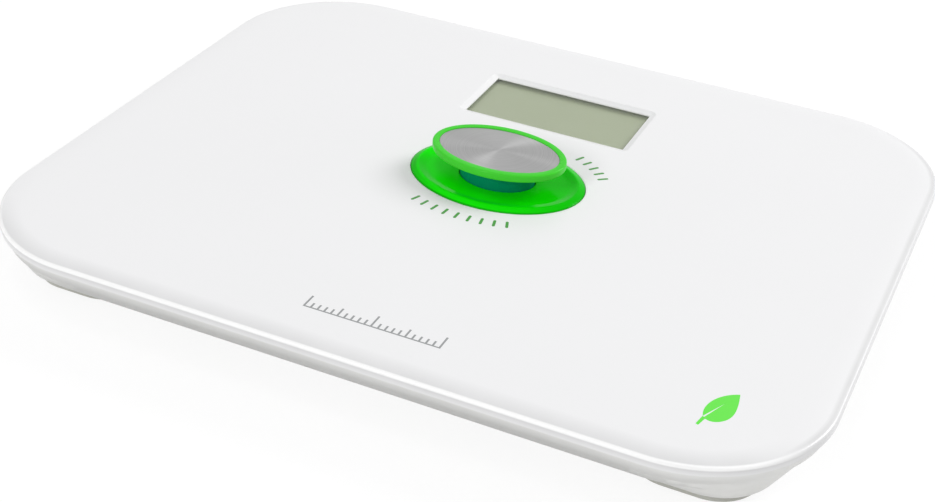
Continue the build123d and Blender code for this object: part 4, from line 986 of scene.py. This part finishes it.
# %% Foot pads
pad_half = 19.0
pad_top = 1.8
pad_edge = 0.5
pad_corner = 13.0
groove_depth = 0.5
first_pad = start_piece("pad_front_left")
pad_place = (-foot_middle[0], -foot_middle[1])
add_rounded_face((2 * pad_half, 2 * pad_half), pad_corner, pad_place, pad_top, 12)
bpy.ops.mesh.extrude_region_move(TRANSFORM_OT_translate={"value": (0, 0, (pad_edge - pad_top) * MM)})
step(0.15, -0.35)
step(0.35, -0.15)
for land in (2.2, 2.4, 2.4):
    step(land, 0.0)
    step(0.3, groove_depth)
    step(0.7, 0.0)
    step(0.3, -groove_depth)
close_piece(first_pad, 40)
pads = {"front_left": first_pad}
for corner, (side, end) in list(corners.items())[1:]:
    clear_selection()
    first_pad.select_set(True)
    bpy.context.view_layer.objects.active = first_pad
    bpy.ops.object.duplicate(linked=False)
    pad = bpy.context.object
    pad.name = f"pad_{corner}"
    pad.location = ((side + 1) * foot_middle[0] * MM, (end + 1) * foot_middle[1] * MM, 0)
    bpy.ops.object.transform_apply(location=True, rotation=True, scale=True)
    pads[corner] = pad
for corner, pad in pads.items():
    hand_over(pad, f"foot_{corner}", "pad_rubber", materials["pad_rubber"], f"foot_pad_{corner}")
print("pads", sorted(pads))

# %% [markdown]
# ## Dish
#
# The dish is an oval ring let into the platform. Its outer edge slopes up to a soft crest a little above
# the platform's face, the inside slopes down to a flat floor round the button's neck, and a flange holds
# it from below. Its section is a closed list of rings, so the last ring meets the first.

# %% Oval dish
dish_rings = [
    (34.7, 25.7, 22.3),
    (34.7, 25.7, 22.9),
    (37.9, 28.9, 22.9),
    (37.9, 28.9, 24.35),
    (34.7, 25.7, 24.35),
    (34.7, 25.7, 27.0),
    (34.64, 25.64, 27.12),
    (34.45, 25.45, 27.24),
    (33.6, 24.6, 27.63),
    (32.8, 23.8, 27.99),
    (32.45, 23.45, 28.12),
    (32.15, 23.15, 28.18),
    (31.9, 22.9, 28.2),
    (31.65, 22.65, 28.17),
    (31.35, 22.35, 28.08),
    (30.6, 21.6, 27.82),
    (29.4, 20.4, 27.44),
    (28.8, 19.8, 27.3),
    (28.2, 19.2, 27.22),
    (27.4, 18.5, 27.2),
    (22.0, 15.6, 27.2),
    (15.7, 11.9, 27.2),
    (15.4, 11.6, 27.12),
    (15.3, 11.5, 26.95),
    (15.3, 11.5, 22.3),
    (17.1, 13.3, 22.3),
    (17.1, 13.3, 25.3),
    (32.7, 23.7, 25.3),
    (32.7, 23.7, 22.3),
    (34.7, 25.7, 22.3),
]
dish = start_piece("oval_dish")
draw_rings(dish_rings, button_centre, oval_steps, filled=False)
close_piece(dish, 40)
hand_over(dish, "housing", "dish_green", materials["dish_green"], "button_dish")

# %% [markdown]
# ## Button
#
# The button is a mushroom: a thick oval cap with a soft round edge, a shallow seat in its top, and a
# metal plate glued into the seat. The cap is drawn from the middle of its underside, round the edge and
# down into the seat.

# %% Button cap
cap_half = (26.7, 18.1)
cap_low = 35.7
cap_high = 38.7
edge_radius = 0.7
seat_half = (24.0, 15.2)
seat_depth = 0.9
arc_steps = 6
cap_rings = [(2.0, 1.0, cap_low), (20.0, 10.0, cap_low)]
for part in range(arc_steps + 1):
    angle = part / arc_steps * pi / 2
    pull = edge_radius * (1 - sin(angle))
    lift = edge_radius * (1 - cos(angle))
    cap_rings.append((cap_half[0] - pull, cap_half[1] - pull, cap_low + lift))
for part in range(arc_steps + 1):
    angle = part / arc_steps * pi / 2
    pull = edge_radius * (1 - cos(angle))
    lift = edge_radius * sin(angle)
    cap_rings.append((cap_half[0] - pull, cap_half[1] - pull, cap_high - edge_radius + lift))
cap_rings += [
    (seat_half[0] + 0.25, seat_half[1] + 0.25, cap_high),
    (seat_half[0] + 0.06, seat_half[1] + 0.06, cap_high - 0.07),
    (*seat_half, cap_high - 0.25),
    (*seat_half, cap_high - seat_depth),
    (2.0, 1.0, cap_high - seat_depth),
]
cap = start_piece("button_top")
draw_rings(cap_rings, button_centre, oval_steps, filled=True)
close_piece(cap, 40)
hand_over(cap, "button", "cap_green", materials["cap_green"], "button_cap")

# %% Metal plate
plate_rings = [
    (2.0, 1.2, 37.8),
    (23.85, 15.05, 37.8),
    (23.95, 15.15, 37.9),
    (23.95, 15.15, 38.36),
    (23.9, 15.1, 38.46),
    (23.7, 14.9, 38.5),
    (2.0, 1.2, 38.5),
]
plate = start_piece("button_plate")
draw_rings(plate_rings, button_centre, oval_steps, filled=True)
close_piece(plate, 40)
hand_over(plate, "button", "disc_metal", materials["disc_metal"], "button_disc")

# %% Button neck
neck = merged_copy("button_neck", "button_stem")
hand_over(neck, "button", "neck_green", materials["neck_green"], "button_neck")

# %% [markdown]
# ## Return springs
#
# The two springs stand on the generator's tray and carry the button's neck. A real spring shortens as the
# button goes down; these keep their measured shape and stay with the housing.

# %% Return springs
springs = merged_copy("return_springs", "coil_springs", smooth_angle=50)
hand_over(springs, "housing", "spring_steel", materials["spring_steel"], "return_springs")
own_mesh(springs)

# %% [markdown]
# ## Prints
#
# The prints are thin films that lie flush in the platform. Their copies are lifted by a few hundredths of
# a millimetre, so that no two faces share one plane.

# %% Prints
for node, slot in (("leaf_print", "leaf_ink"), ("graduation_print", "scale_ink"), ("dash_print", "dash_ink")):
    film = merged_copy(node, node.replace("print", "film"), smooth_angle=1, lift=0.03)
    hand_over(film, "housing", slot, materials[slot], node)

# %% [markdown]
# ## Everything that keeps its measured shape
#
# The parts inside are seldom seen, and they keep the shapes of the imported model. Each takes the finish of
# its own slot, so that an opened scale looks as real as a closed one.

# %% Finishes for the measured parts
slot_of = {entry["node"]: entry["material_slot"] for entry in frame["record"]["subparts"]}
for node, part in frame["nodes"].items():
    finish = materials[slot_of[node]]
    if part.material_slots:
        for material_slot in part.material_slots:
            material_slot.material = finish
    else:
        part.data.materials.append(finish)
print(len(slot_of), "measured parts have a finish")
